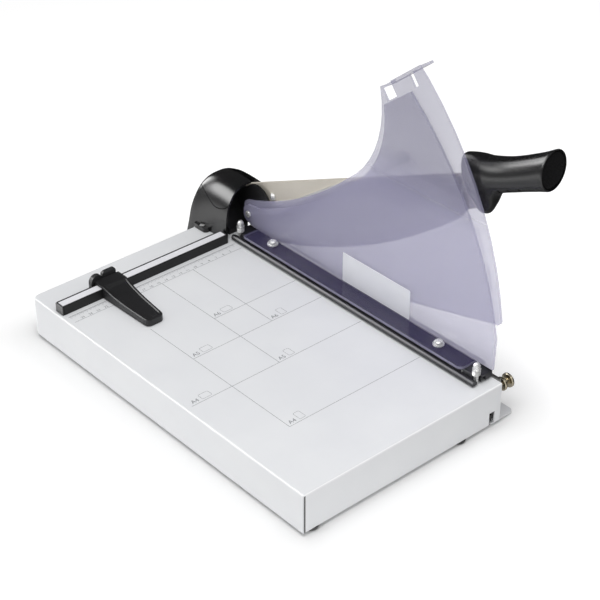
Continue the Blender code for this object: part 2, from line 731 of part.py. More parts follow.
def make_fence(root):
    """Black bar with a recessed strip, closed by a cap at the outer end."""
    left = FENCE_LEFT + CAP_THICK + CLEAR
    right = FENCE_LEFT + FENCE_LENGTH
    rear = FENCE_BACK
    bar = piece("fence_bar", block((left, right), (FENCE_SETBACK, rear), (CLEAR, FENCE_HEIGHT)),
                "black_paint", root, smooth=False)
    edge = (FENCE_WIDTH - STRIP_WIDTH) / 2
    bed = FENCE_HEIGHT - STRIP_THICK - CLEAR
    recess = block((left - OVERRUN, right - edge), (FENCE_SETBACK + edge, rear - edge),
                   (bed, FENCE_HEIGHT + OVERRUN))
    boolean(bar, recess)
    strip = block((left + CLEAR, right - edge - CLEAR),
                  (FENCE_SETBACK + edge + CLEAR, rear - edge - CLEAR),
                  (bed + CLEAR, bed + CLEAR + STRIP_THICK))
    piece("fence_strip", strip, "white_strip", root, smooth=False)
    cap = piece("fence_end_cap", block((FENCE_LEFT, left - CLEAR), (FENCE_SETBACK, rear),
                                       (CLEAR, FENCE_HEIGHT)), "black_plastic", root, smooth=False)
    bevel(cap, CAP_THICK / 4, 1, 30)
    depth = FENCE_HEIGHT * 0.6
    for number, x in enumerate(fence_screw_places(), 1):
        boolean(bar, rod(FENCE_SCREW_RADIUS + CLEAR, -OVERRUN, depth + CLEAR, 12),
                location=(x, fence_middle(), 0))
        profile = [(0, -SHEET - FENCE_SCREW_RADIUS), (FENCE_SCREW_HEAD, -SHEET - FENCE_SCREW_RADIUS),
                   (FENCE_SCREW_HEAD, -SHEET - CLEAR), (FENCE_SCREW_RADIUS, -SHEET - CLEAR),
                   (FENCE_SCREW_RADIUS, depth), (0, depth)]
        piece(f"fence_screw_{number}", turned(profile, 12), "zinc", root, (x, fence_middle(), 0))


def stop_ring(y, inset, sink):
    """Section of the arm at a distance from the fence: tapered sides and a dished top."""
    root_y = FENCE_SETBACK - RUN_CLEAR
    share = (root_y - y) / STOP_REACH
    half = STOP_ROOT_WIDTH / 2
    left = -half + STOP_TIP_LEFT * share + inset
    right = half - STOP_TIP_RIGHT * share - inset
    top = STOP_HEIGHT + (STOP_CROWN - STOP_HEIGHT) * (1 - share) ** 4 - sink
    rim = STOP_PANEL_RIM
    chamfer = rim / 3
    dish = STOP_PANEL_DEPTH * (inset <= 0 and 0 < share)
    low = CLEAR + RUN_CLEAR
    return [(left, y, low), (right, y, low), (right, y, top - chamfer), (right - chamfer, y, top),
            (right - rim, y, top), (right - rim * 1.4, y, top - dish),
            (left + rim * 1.4, y, top - dish), (left + rim, y, top),
            (left + chamfer, y, top), (left, y, top - chamfer)]


def stop_arm():
    root_y = FENCE_SETBACK - RUN_CLEAR
    rings = [stop_ring(root_y - share * STOP_REACH, 0, 0) for share in STOP_STATION_SHARES]
    radius = STOP_TIP_CORNER
    for step in range(1, STOP_CORNER_STEPS + 1):
        turn = math.radians(78) * step / STOP_CORNER_STEPS
        y = root_y - STOP_REACH + radius * (1 - math.sin(turn))
        rings.append(stop_ring(y, radius * (1 - math.cos(turn)), STOP_PANEL_DEPTH * math.sin(turn) / 2))
    return loft(rings)


def make_stop(slider):
    """Arm on the table, saddle over the bar, ear behind it and a release lever."""
    body = piece("stop_body", stop_arm(), "black_plastic", slider)
    half = STOP_ROOT_WIDTH / 2
    under = FENCE_HEIGHT + RUN_CLEAR
    back = FENCE_BACK + RUN_CLEAR
    front = FENCE_SETBACK - RUN_CLEAR
    crown = STOP_CROWN - CLEAR
    saddle = [(front, 3 * CLEAR), (front, under), (back, under), (back, 3 * CLEAR),
              (back + STOP_HOOK, 3 * CLEAR), (back + STOP_HOOK, under),
              (back + STOP_HOOK / 2, crown), (front - CLEAR, crown), (front - STOP_HOOK, STOP_HEIGHT),
              (front - STOP_HOOK, 3 * CLEAR)]
    inner = half - CLEAR
    boolean(body, prism_x(saddle, -inner, inner), "UNION")
    ear_y = back + STOP_HOOK / 2
    ear_x = -half + EAR_INSET
    ear = [(ear_x - EAR_RADIUS, 2 * CLEAR), (ear_x + EAR_RADIUS, 2 * CLEAR)]
    ear += arc((ear_x, EAR_TOP - EAR_RADIUS), EAR_RADIUS, 0, math.pi, 10)
    boolean(body, prism_y(ear, ear_y, ear_y + EAR_THICK), "UNION")
    lug = [(back + STOP_HOOK / 2, 2 * CLEAR), (tab_axis_y() + TAB_THICK / 2, 2 * CLEAR),
           (tab_axis_y() + TAB_THICK / 2, TAB_PIN_HEIGHT + TAB_THICK / 2), (back + STOP_HOOK / 2,
                                                                            STOP_HEIGHT)]
    tab_half = TAB_WIDTH / 2
    mid = tab_middle_x()
    for side in (-1, 1):
        edges = sorted((mid + side * (tab_half + CLEAR), mid + side * (tab_half + TAB_THICK / 2)))
        boolean(body, prism_x(lug, edges[0], edges[1]), "UNION")
    boolean(body, rod(TAB_PIN_RADIUS + CLEAR, -tab_half - TAB_THICK, tab_half + TAB_THICK, 12),
            location=(mid, tab_axis_y(), TAB_PIN_HEIGHT), rotation=ALONG_X)
    return body


def tab_axis_y():
    return FENCE_BACK + RUN_CLEAR + STOP_HOOK + CLEAR + TAB_THICK / 2


def tab_middle_x():
    return STOP_ROOT_WIDTH / 2 - TAB_WIDTH / 2 - TAB_THICK / 2


def make_stop_lever(lever):
    """Thumb tab that stands behind the bar and turns on its pin."""
    half = TAB_WIDTH / 2
    radius = TAB_THICK / 2
    hub = arc((0, 0), radius, math.pi, 2 * math.pi, 8)
    outline = hub + [(radius, TAB_HEIGHT - radius), (radius / 2, TAB_HEIGHT), (-radius / 2, TAB_HEIGHT),
                     (-radius, TAB_HEIGHT - radius)]
    tab = piece("stop_lever", prism_x(outline, -half, half), "black_plastic", lever)
    boolean(tab, rod(TAB_PIN_RADIUS + CLEAR / 3, -half - OVERRUN, half + OVERRUN, 12), rotation=ALONG_X)
    corner = TAB_THICK
    for side in (-1, 1):
        points = [(side * (half + OVERRUN), TAB_HEIGHT - corner), (side * (half + OVERRUN),
                                                                   TAB_HEIGHT + OVERRUN),
                  (side * (half - corner), TAB_HEIGHT + OVERRUN), (side * (half - corner), TAB_HEIGHT)]
        points += [(side * (half - corner + corner * math.sin(math.radians(t))),
                    TAB_HEIGHT - corner + corner * math.cos(math.radians(t))) for t in (30, 60)]
        points += [(side * half, TAB_HEIGHT - corner)]
        boolean(tab, prism_y(points, -TAB_THICK, TAB_THICK))
    length = half + TAB_THICK / 2
    piece("stop_lever_pin", rod(TAB_PIN_RADIUS, -length, length, 12), "zinc", lever, rotation=ALONG_X)


def clamp_profile():
    """Section of the bar: bead, groove, web and block, hollow below."""
    bead = CLAMP_BEAD_WIDTH
    groove = bead + CLAMP_GROOVE_WIDTH
    width = CLAMP_RIGHT - CLAMP_LEFT
    round_off = CLAMP_BEAD_HEIGHT / 3
    roof = CLAMP_HEIGHT - CLAMP_WEB_THICK
    inner = width - CLAMP_BLOCK_WIDTH
    points = [(0, 0), (CLAMP_FOOT_WIDTH, 0), (CLAMP_FOOT_WIDTH, roof), (inner, roof), (inner, 0),
              (width, 0),
              (width, CLAMP_HEIGHT), (groove + round_off, CLAMP_HEIGHT), (groove, CLAMP_GROOVE_HEIGHT),
              (bead, CLAMP_GROOVE_HEIGHT), (bead - round_off, CLAMP_BEAD_HEIGHT),
              (round_off, CLAMP_BEAD_HEIGHT), (0, CLAMP_BEAD_HEIGHT - round_off)]
    return [(CLAMP_LEFT + x, z) for x, z in points]


def make_clamp(slider):
    """The slider's frame lies at the bar's underside."""
    bar = piece("clamp_bar", prism_y(clamp_profile(), CLAMP_FRONT, CLAMP_REAR), "clamp_paint", slider,
                smooth=False)
    notch = POST_RADIUS + RUN_CLEAR
    tall = (-OVERRUN, CLAMP_HEIGHT + OVERRUN)
    boolean(bar, block((POST_X - notch, POST_X + notch), (CLAMP_FRONT - OVERRUN, POST_FRONT), tall))
    boolean(bar, block((POST_X - notch, POST_X + notch), (POST_REAR, CLAMP_REAR + OVERRUN), tall))
    for y in (POST_FRONT, POST_REAR):
        boolean(bar, rod(notch, tall[0], tall[1]), location=(POST_X, y, 0))
    for y in (GUARD_BOLT_FRONT, GUARD_BOLT_REAR):
        boolean(bar, rod(GUARD_BOLT_RADIUS + CLEAR, tall[0], tall[1], 12),
                location=(guard_bolt_x(), y, 0))
    pin_x = SHAFT_X - CRANK_LENGTH
    deep = CLAMP_HEIGHT - CLAMP_WEB_THICK
    foot = SHAFT_Z + CRANK_RADIUS - CLAMP_BOTTOM + CLEAR
    dome = [(LIFT_PIN_RADIUS * math.sin(math.radians(t)),
             foot + LIFT_PIN_RADIUS * (1 - math.cos(math.radians(t))))
            for t in (0, 30, 60, 90)]
    profile = dome + [(LIFT_PIN_RADIUS, deep - CLEAR), (0, deep - CLEAR)]
    for name, y in (("lift_pin_front", LIFT_PIN_FRONT), ("lift_pin_rear", LIFT_PIN_REAR)):
        boolean(bar, rod(LIFT_PIN_RADIUS + CLEAR, -OVERRUN, deep, 12), location=(pin_x, y, 0))
        piece(name, turned(profile, 12), "zinc", slider, (pin_x, y, 0))
    return bar


def guard_bolt_x():
    return GUARD_FRONT_X - GUARD_BOLT_INSET


def make_posts(root, slider):
    """Studs through the table, dome nuts and the springs that press the bar down."""
    below = -SHEET - CLEAR
    nut_low = POST_TOP - NUT_HEX_HEIGHT - NUT_DOME_HEIGHT / 2
    stud_top = POST_TOP - NUT_DOME_HEIGHT / 2
    stud = [(0, below - POST_FLANGE_THICK - POST_RADIUS), (POST_RADIUS,
                                                           below - POST_FLANGE_THICK - POST_RADIUS),
            (POST_RADIUS, below - POST_FLANGE_THICK), (POST_FLANGE_RADIUS, below - POST_FLANGE_THICK),
            (POST_FLANGE_RADIUS, below), (POST_RADIUS, below), (POST_RADIUS, stud_top), (0, stud_top)]
    bore = POST_RADIUS + CLEAR
    nut_top = nut_low + NUT_HEX_HEIGHT
    dome = [(NUT_RADIUS * 0.82 * math.cos(math.radians(t)),
             nut_top + NUT_DOME_HEIGHT * math.sin(math.radians(t)))
            for t in (0, 25, 50, 72)]
    shell = [(bore, nut_low - NUT_HEX_HEIGHT / 3), (NUT_RADIUS * 1.05, nut_low - NUT_HEX_HEIGHT / 3),
             (NUT_RADIUS * 1.05, nut_low), (NUT_RADIUS * 0.9, nut_low + CLEAR), (NUT_RADIUS * 0.9,
                                                                                 nut_top)]
    shell += dome + [(0, nut_top + NUT_DOME_HEIGHT), (0, stud_top + CLEAR)]
    closed = shell[:-1] + [(0, stud_top + CLEAR), (bore, stud_top + CLEAR)]
    spring_low = CLAMP_TOP + CLEAR
    spring_high = nut_low - NUT_HEX_HEIGHT / 3 - CLEAR
    for side, y in (("front", POST_FRONT), ("rear", POST_REAR)):
        piece(f"guide_post_{side}", turned(stud), "zinc", root, (POST_X, y, 0))
        piece(f"dome_nut_{side}", nut_mesh(closed), "zinc", root, (POST_X, y, 0))
        piece(f"clamp_spring_{side}", coil(SPRING_RADIUS, SPRING_WIRE, spring_low, spring_high,
                                           SPRING_TURNS),
              "zinc", slider, (POST_X, y, -CLAMP_BOTTOM))


def nut_mesh(profile, sides=18):
    """A turned cap with a blind bore: the profile runs from the bore's mouth to its end."""
    bm = bmesh.new()
    rows = []
    for radius, height in profile:
        if radius <= 0:
            rows.append([bm.verts.new((0, 0, height))])
        else:
            rows.append([bm.verts.new((radius * math.cos(2 * math.pi * k / sides),
                                       radius * math.sin(2 * math.pi * k / sides), height))
                         for k in range(sides)])
    pairs = [(low, high) for low, high in zip(rows, rows[1:]) if len(low) > 1 or len(high) > 1]
    pairs.append((rows[-1], rows[0]))
    for low, high in pairs:
        for k in range(sides):
            following = (k + 1) % sides
            if len(low) == 1:
                bm.faces.new((low[0], high[k], high[following]))
            elif len(high) == 1:
                bm.faces.new((low[k], low[following], high[0]))
            else:
                bm.faces.new((low[k], low[following], high[following], high[k]))
    return bm


def make_guard(slider):
    """Two clear plates: the front one with a flange on the bar, the rear one with a hood."""
    lift = -CLAMP_BOTTOM
    rear_of_front = GUARD_FRONT_X + GUARD_THICK
    front_outline = [(y, z + lift) for y, z in shared_outline(FRONT_PLATE_SHARES, GUARD_LENGTH,
                                                              GUARD_HEIGHT)]
    front = piece("guard_front", prism_x(front_outline, GUARD_FRONT_X, rear_of_front),
                  "smoked_clear", slider)
    low = CLAMP_HEIGHT + CLEAR
    left = GUARD_FRONT_X - GUARD_FLANGE_WIDTH
    plan = rounded_box(left, GUARD_FRONT_X + GUARD_THICK / 2, GUARD_FLANGE_FRONT, GUARD_FLANGE_REAR,
                       (GUARD_FLANGE_CORNER, CLEAR, CLEAR, GUARD_FLANGE_CORNER / 2))
    boolean(front, prism_z(plan, low, low + GUARD_THICK), "UNION")
    for y in (GUARD_BOLT_FRONT, GUARD_BOLT_REAR):
        boolean(front, rod(GUARD_BOLT_RADIUS + CLEAR, 0, low + GUARD_THICK + OVERRUN, 12),
                location=(guard_bolt_x(), y, 0))
    plate_left = rear_of_front + CLEAR
    plate_right = plate_left + GUARD_THICK
    rear_outline = [(y, z + lift) for y, z in shared_outline(REAR_PLATE_SHARES, GUARD_LENGTH,
                                                             GUARD_HEIGHT)]
    rear = piece("guard_rear", prism_x(rear_outline, plate_left, plate_right), "smoked_clear", slider)
    add_guard_hood(rear, plate_left)
    cut_guard_windows(rear, plate_left, plate_right)
    add_guard_catches(rear, plate_right)
    nose = (-NOSE_BOLT_SHARES[0] * GUARD_LENGTH, NOSE_BOLT_SHARES[1] * GUARD_HEIGHT + lift)
    for plate in (front, rear):
        boolean(plate, rod(NOSE_BOLT_RADIUS + CLEAR, GUARD_FRONT_X - OVERRUN, plate_right + OVERRUN,
                           12),
                location=(0, nose[0], nose[1]), rotation=ALONG_X)
    screw("guard_nose_bolt", "zinc", slider, (GUARD_FRONT_X - CLEAR, nose[0], nose[1]),
          (0, math.radians(-90), 0),
          (NOSE_BOLT_RADIUS, plate_right - GUARD_FRONT_X - CLEAR, NOSE_BOLT_HEAD,
           NOSE_BOLT_HEAD_HEIGHT))
    for side, y in (("front", GUARD_BOLT_FRONT), ("rear", GUARD_BOLT_REAR)):
        make_guard_bolt(f"guard_bolt_{side}", slider, y, low + GUARD_THICK + CLEAR)


def make_guard_bolt(name, slider, y, seat):
    """Washer and hexagon-like head in one turned bolt."""
    deep = seat - CLEAR
    head = GUARD_WASHER_THICK + GUARD_BOLT_HEAD_HEIGHT
    profile = [(0, -deep), (GUARD_BOLT_RADIUS, -deep), (GUARD_BOLT_RADIUS, 0), (GUARD_WASHER_RADIUS, 0),
               (GUARD_WASHER_RADIUS, GUARD_WASHER_THICK), (GUARD_BOLT_HEAD, GUARD_WASHER_THICK),
               (GUARD_BOLT_HEAD, head * 0.8), (GUARD_BOLT_HEAD * 0.7, head), (0, head)]
    piece(name, turned(profile, 18), "zinc", slider, (guard_bolt_x(), y, seat))


def top_edge():
    """Ends of the rear plate's top edge in the slider's frame."""
    first = REAR_PLATE_SHARES[6]
    second = REAR_PLATE_SHARES[5]
    return [(-u * GUARD_LENGTH, v * GUARD_HEIGHT - CLAMP_BOTTOM) for u, v, _ in (first, second)]


def add_guard_hood(rear, plate_left):
    """Wall along the top edge that closes the knife's path above."""
    low_end, high_end = (Vector(point) for point in top_edge())
    along = (high_end - low_end).normalized()
    down = Vector((along.y, -along.x)) * GUARD_HOOD_THICK
    if down.y > 0:
        down = -down
    start = low_end + along * CLEAR + down * 0.1
    end = high_end - along * CLEAR + down * 0.1
    wall = [tuple(start), tuple(end), tuple(end + down), tuple(start + down)]
    boolean(rear, prism_x(wall, plate_left + CLEAR, plate_left + GUARD_THICK + GUARD_HOOD_DEPTH),
            "UNION")


def cut_guard_windows(rear, plate_left, plate_right):
    low_end, high_end = (Vector(point) for point in top_edge())
    along = (high_end - low_end).normalized()
    across = Vector((-along.y, along.x))
    for (u, v), long_side, short_side in ((WINDOW_SHARES, WINDOW_SIZE, WINDOW_SIZE),
                                          (SLOT_SHARES, SLOT_WIDTH, SLOT_LENGTH)):
        middle = Vector((-u * GUARD_LENGTH, v * GUARD_HEIGHT - CLAMP_BOTTOM))
        corners = [middle + along * (sx * long_side / 2) + across * (sy * short_side / 2)
                   for sx, sy in ((-1, -1), (1, -1), (1, 1), (-1, 1))]
        boolean(rear, prism_x([tuple(c) for c in corners], plate_left - OVERRUN, plate_right + OVERRUN))


def add_guard_catches(rear, plate_right):
    """Two raised pads near the outer edge, where the plate snaps on its holder."""
    for (u, v), (next_u, next_v) in zip(CATCH_SHARES, CATCH_SHARES[1:] + CATCH_END_SHARES):
        middle = Vector((-u * GUARD_LENGTH, v * GUARD_HEIGHT - CLAMP_BOTTOM))
        along = Vector(((u - next_u) * GUARD_LENGTH, (next_v - v) * GUARD_HEIGHT)).normalized()
        across = Vector((-along.y, along.x))
        corners = [middle + along * (sx * CATCH_LENGTH / 2) + across * (sy * CATCH_WIDTH / 2)
                   for sx, sy in ((-1, -1), (1, -1), (1, 1), (-1, 1))]
        pad = prism_x([tuple(c) for c in corners], plate_right - GUARD_THICK / 2,
                      plate_right + CATCH_THICK)
        boolean(rear, pad, "UNION")


def make_bracket(root):
    """Pivot casting: a block screwed on the table and a thin cheek beside the knife."""
    bottom = CLEAR
    top = BRACKET_HEIGHT
    dome = arc((PIVOT_Y, top - BRACKET_TOE * 2), BRACKET_TOE * 2, 0, math.pi, 8)
    side = [(BRACKET_FRONT, bottom), (BRACKET_REAR, bottom), (BRACKET_REAR,
                                                              bottom + BRACKET_TOE)] + dome
    side += [(BRACKET_FRONT, bottom + BRACKET_TOE)]
    casting = piece("pivot_bracket", prism_x(side, BRACKET_LEFT, CHEEK_LEFT + CLEAR), "black_paint",
                    root)
    nose = arc((CHEEK_NOSE_Y, CHEEK_NOSE_Z), CHEEK_NOSE_RADIUS, 0.21 * math.pi, 1.46 * math.pi, 18)
    cheek = nose + [(BRACKET_FRONT + CLEAR, bottom + BRACKET_TOE), (BRACKET_FRONT + CLEAR,
                                                                    bottom + CLEAR),
                    (BRACKET_REAR - CLEAR, bottom + CLEAR), (BRACKET_REAR - CLEAR, top),
                    (PIVOT_Y, CHEEK_NOSE_Z + BRACKET_TOE)]
    boolean(casting, prism_x(cheek, CHEEK_LEFT, CHEEK_RIGHT), "UNION")
    boolean(casting, rod(PIVOT_RADIUS + CLEAR / 3, BRACKET_LEFT - OVERRUN, OVERRUN, 24),
            location=(0, PIVOT_Y, PIVOT_Z), rotation=ALONG_X)
    depth = SHEET + CLEAR + BRACKET_TOE
    for number, y in enumerate(bracket_screw_places(), 1):
        spot = (bracket_screw_x(), y, -SHEET - CLEAR)
        boolean(casting, rod(BRACKET_SCREW_RADIUS + CLEAR, -OVERRUN, depth + CLEAR, 12), location=spot)
        screw(f"bracket_screw_{number}", "zinc", root, spot, (math.pi, 0, 0),
              (BRACKET_SCREW_RADIUS, depth, BRACKET_SCREW_HEAD, BRACKET_SCREW_HEAD_HEIGHT))


def make_pivot(root):
    """Bolt, bush, friction washer, spring washer and lock nut."""
    axis = (0, PIVOT_Y, PIVOT_Z)
    washer_low = ARM_RIGHT + CLEAR
    cone_low = washer_low + WASHER_THICK + CLEAR
    nut_low = cone_low + SPRING_WASHER_HEIGHT + CLEAR
    nut_high = nut_low + LOCK_NUT_HEIGHT
    head_low = BRACKET_LEFT - CLEAR
    profile = [(0, head_low - PIVOT_HEAD_HEIGHT), (PIVOT_HEAD_RADIUS * 0.85,
                                                   head_low - PIVOT_HEAD_HEIGHT),
               (PIVOT_HEAD_RADIUS, head_low - PIVOT_HEAD_HEIGHT * 0.8), (PIVOT_HEAD_RADIUS, head_low),
               (PIVOT_RADIUS, head_low), (PIVOT_RADIUS, nut_high + CLEAR), (PIVOT_RADIUS * 0.8,
                                                                            nut_high + PIVOT_RADIUS / 3),
               (0, nut_high + PIVOT_RADIUS / 3)]
    piece("pivot_bolt", turned(profile, 24), "zinc", root, axis, ALONG_X)
    bore = PIVOT_RADIUS + CLEAR / 3
    piece("pivot_bush", tube(BUSH_RADIUS, bore, CHEEK_RIGHT + CLEAR, ARM_LEFT - CLEAR, 24),
          "bright_steel", root,
          axis, ALONG_X)
    piece("friction_washer", tube(WASHER_RADIUS, bore, washer_low, washer_low + WASHER_THICK, 24),
          "zinc",
          root, axis, ALONG_X)
    thin = SPRING_WASHER_HEIGHT / 2
    cone = [(SPRING_WASHER_RADIUS, cone_low), (SPRING_WASHER_RADIUS, cone_low + thin / 2),
            (bore, cone_low + thin * 2), (bore, cone_low + thin), (SPRING_WASHER_RADIUS, cone_low)]
    piece("spring_washer", turned(cone, 24), "zinc", root, axis, ALONG_X)
    nut = piece("pivot_lock_nut", prism_z(hexagon(LOCK_NUT_RADIUS), nut_low, nut_high), "zinc",
                root, axis,
                ALONG_X, smooth=False)
    boolean(nut, rod(bore, nut_low - OVERRUN, nut_high + OVERRUN, 24), location=axis, rotation=ALONG_X)


def along_arm(points):
    """Arm points (a, b) as (y, z) points of the blade's frame."""
    return [(-a, b) for a, b in points]


def knife_curve(lift=0.0):
    """Cutting edge from the front to the rear, raised by a lift for the ground face."""
    centre = (KNIFE_DEEPEST, KNIFE_ARC_RADIUS - KNIFE_DEPTH)
    radius = KNIFE_ARC_RADIUS - lift
    first = math.asin((KNIFE_EDGE_END - KNIFE_DEEPEST) / KNIFE_ARC_RADIUS)
    last = math.asin((KNIFE_REAR - KNIFE_DEEPEST) / KNIFE_ARC_RADIUS)
    return [(a, b) for a, b in arc(centre, radius, -math.pi / 2 + first, -math.pi / 2 + last,
                                   KNIFE_ARC_STEPS)]


def make_knife(blade):
    """Plate with a convex edge, flat towards the bed and ground on the other side."""
    body = [(KNIFE_REAR, KNIFE_TOP_REAR - KNIFE_GRIND), (KNIFE_REAR + KNIFE_GRIND, KNIFE_TOP_REAR),
            (KNIFE_RAMP_START, KNIFE_TOP_REAR), (KNIFE_RAMP_END, KNIFE_TOP_FRONT),
            (KNIFE_FRONT, KNIFE_TOP_FRONT), (KNIFE_FRONT, -KNIFE_BLUNT)]
    sharp = along_arm(body + knife_curve())
    ground = along_arm(body + knife_curve(KNIFE_GRIND))
    right = KNIFE_LEFT + KNIFE_THICK
    rings = [[(KNIFE_LEFT, y, z) for y, z in sharp],
             [(KNIFE_LEFT + KNIFE_EDGE_THICK, y, z) for y, z in sharp],
             [(right, y, z) for y, z in ground]]
    return piece("knife", loft(rings), "bright_steel", blade, smooth=False)


def make_arm(blade):
    """Flat bar with a round hub, tapered below, and a tang inside the handle."""
    hub = arc((0, 0), ARM_HUB, 1.5 * math.pi, 2.5 * math.pi, 16)
    belly = ARM_BELLY
    end = ARM_LENGTH
    outline = [(-y, z) for y, z in hub]
    outline += [(end - ARM_END_SLANT, ARM_HUB), (end, -KNIFE_BLUNT), (KNIFE_RAMP_END, -belly),
                (ARM_HUB * 2, -belly)]
    arm = piece("blade_arm", prism_x(along_arm(outline), ARM_LEFT, ARM_RIGHT), "arm_paint", blade)
    boolean(arm, rod(PIVOT_RADIUS + CLEAR / 3, ARM_LEFT - OVERRUN, ARM_RIGHT + OVERRUN, 24),
            rotation=ALONG_X)
    tang = block((ARM_RIGHT - ARM_THICK / 2, ARM_RIGHT + ARM_TANG_THICK),
                 (-end - ARM_TANG_LENGTH, -end + ARM_TANG_ROOT), (ARM_TANG_LOW, ARM_TANG_HIGH - CLEAR))
    boolean(arm, tang, "UNION")
    return arm


def make_blade(blade):
    arm = make_arm(blade)
    knife = make_knife(blade)
    for number, (a, b) in enumerate(KNIFE_SCREW_PLACES, 1):
        spot = (KNIFE_LEFT + KNIFE_SCREW_HEAD_HEIGHT, -a, b)
        depth = ARM_RIGHT - spot[0] + KNIFE_SCREW_RADIUS
        for target in (arm, knife):
            boolean(target, rod(KNIFE_SCREW_RADIUS + CLEAR, -KNIFE_THICK - OVERRUN, depth + OVERRUN,
                                12),
                    location=spot, rotation=ALONG_X)
        boolean(knife, rod(KNIFE_SCREW_HEAD + CLEAR, -OVERRUN, 0, 16), location=spot, rotation=ALONG_X)
        profile = [(0, -KNIFE_SCREW_HEAD_HEIGHT + CLEAR), (KNIFE_SCREW_HEAD,
                                                           -KNIFE_SCREW_HEAD_HEIGHT + CLEAR),
                   (KNIFE_SCREW_HEAD, -CLEAR), (KNIFE_SCREW_RADIUS, -CLEAR), (KNIFE_SCREW_RADIUS,
                                                                              depth), (0, depth)]
        piece(f"knife_screw_{number}", turned(profile, 16), "zinc", blade, spot, ALONG_X)
    make_arm_bolt(blade, arm)
    bar = block((-CLEAR - TAB_BAR_THICK, 0), (-HANDLE_START + CLEAR, -TAB_BAR_START),
                (TAB_BAR_LOW, TAB_BAR_HIGH))
    piece("handle_tab", bar, "black_paint", blade, smooth=False)


def make_arm_bolt(blade, arm):
    """Domed bolt through the arm, just above the knife's back."""
    a, b = ARM_BOLT_PLACE
    boolean(arm, rod(KNIFE_SCREW_RADIUS + CLEAR, ARM_LEFT - OVERRUN, ARM_RIGHT + OVERRUN, 12),
            location=(0, -a, b), rotation=ALONG_X)
    screw("arm_bolt", "zinc", blade, (ARM_LEFT - CLEAR, -a, b), (0, math.radians(-90), 0),
          (KNIFE_SCREW_RADIUS, ARM_THICK + KNIFE_SCREW_RADIUS, ARM_BOLT_HEAD, ARM_BOLT_HEAD_HEIGHT))


def handle_ring(entry, scale=1.0, sink=0.0):
    """Egg-shaped section; the inner face leans in at the top, the end face leans out."""
    share, centre, high, wide, narrow = entry
    place_a = HANDLE_START + share * HANDLE_LENGTH
    outer = math.tan(HANDLE_TILT * max(0.0, (share - 0.5) * 2))
    inner = math.tan(HANDLE_INNER_TILT * max(0.0, 1 - share * 4))
    ring = []
    for k in range(HANDLE_POINTS):
        turn = 2 * math.pi * k / HANDLE_POINTS
        up = math.sin(turn)
        side = math.cos(turn) * (1 - narrow * (0.5 - 0.5 * up))
        b = HANDLE_WIDTH * (centre + high * up * scale)
        x = HANDLE_X + HANDLE_WIDTH * wide * side * scale
        a = place_a - sink + HANDLE_WIDTH * high * up * scale * (outer - inner)
        ring.append((x, -a, b))
    return ring


def smooth_rows(rows, steps):
    """Rows of a table with further rows between them on a smooth curve."""
    result = []
    last = len(rows) - 1
    for number in range(last):
        before, here = rows[max(number - 1, 0)], rows[number]
        after, beyond = rows[number + 1], rows[min(number + 2, last)]
        for step in range(steps):
            t = step / steps
            weights = (-t + 2 * t * t - t ** 3, 2 - 5 * t * t + 3 * t ** 3,
                       t + 4 * t * t - 3 * t ** 3, -t * t + t ** 3)
            mixed = [sum(w * v for w, v in zip(weights, values)) / 2
                     for values in zip(before, here, after, beyond)]
            mixed[0] = here[0] + (after[0] - here[0]) * t
            result.append(tuple(mixed))
    result.append(rows[-1])
    return result


def make_handle(blade):
    """Lofted grip with a knuckle guard, a tilted end, finger grooves and a tang slot."""
    rows = smooth_rows(HANDLE_SHARES, HANDLE_STEPS)
    rings = [handle_ring(rows[0], 0.90)]
    rings += [handle_ring((share + 0.014 * (share == 0), *rest)) for share, *rest in rows]
    rings += [handle_ring(HANDLE_SHARES[-1], HANDLE_DISH_SHARE, -HANDLE_DISH_DEPTH),
              handle_ring(HANDLE_SHARES[-1], HANDLE_DISH_SHARE - 0.06, HANDLE_DISH_DEPTH)]
    grip = piece("handle_grip", loft(rings), "black_plastic", blade)
    slot = block((ARM_RIGHT - ARM_THICK / 2 - CLEAR, ARM_RIGHT + ARM_TANG_THICK + CLEAR),
                 (-ARM_LENGTH - ARM_TANG_LENGTH - CLEAR, -HANDLE_START + OVERRUN),
                 (ARM_TANG_LOW - CLEAR, ARM_TANG_HIGH))
    boolean(grip, slot)
    low = (HANDLE_SHARES[4][1] - HANDLE_SHARES[4][2]) * HANDLE_WIDTH
    for share in GROOVE_SHARES:
        groove = block((-HANDLE_WIDTH, HANDLE_WIDTH), (-GROOVE_WIDTH / 2, GROOVE_WIDTH / 2),
                       (-HANDLE_WIDTH / 3, GROOVE_DEPTH))
        a = HANDLE_START + share * HANDLE_LENGTH
        boolean(grip, groove, location=(HANDLE_X, -a, low), rotation=(GROOVE_LEAN, 0, 0))


def arch_ring(y, width_share, height_share, wall):
    """Arch section with straight feet; a wall draws it in."""
    half = HOOD_HALF_WIDTH * width_share - wall
    top = HOOD_HEIGHT * height_share - wall
    ring = [(HOOD_X + half, y, -HOOD_SKIRT - OVERRUN * bool(wall))]
    power = 2 / HOOD_SQUARENESS
    for k in range(HOOD_POINTS + 1):
        turn = math.pi * k / HOOD_POINTS
        across = math.copysign(abs(math.cos(turn)) ** power, math.cos(turn))
        ring.append((HOOD_X + half * across, y, top * abs(math.sin(turn)) ** power))
    ring.append((HOOD_X - half, y, -HOOD_SKIRT - OVERRUN * bool(wall)))
    return ring


def hood_solid(wall):
    rings = []
    if wall:
        rings.append(arch_ring(HOOD_FRONT - OVERRUN, HOOD_SHARES[0][1], HOOD_SHARES[0][2], wall))
    for share, wide, high in HOOD_SHARES:
        y = HOOD_FRONT + share * (HOOD_LENGTH - wall * bool(share))
        rings.append(arch_ring(y, wide, high, wall))
    return loft(rings)


def seam_line(offset):
    return [(HOOD_FRONT + share * HOOD_LENGTH, high * HOOD_HEIGHT + offset) for share,
            high in SEAM_SHARES]


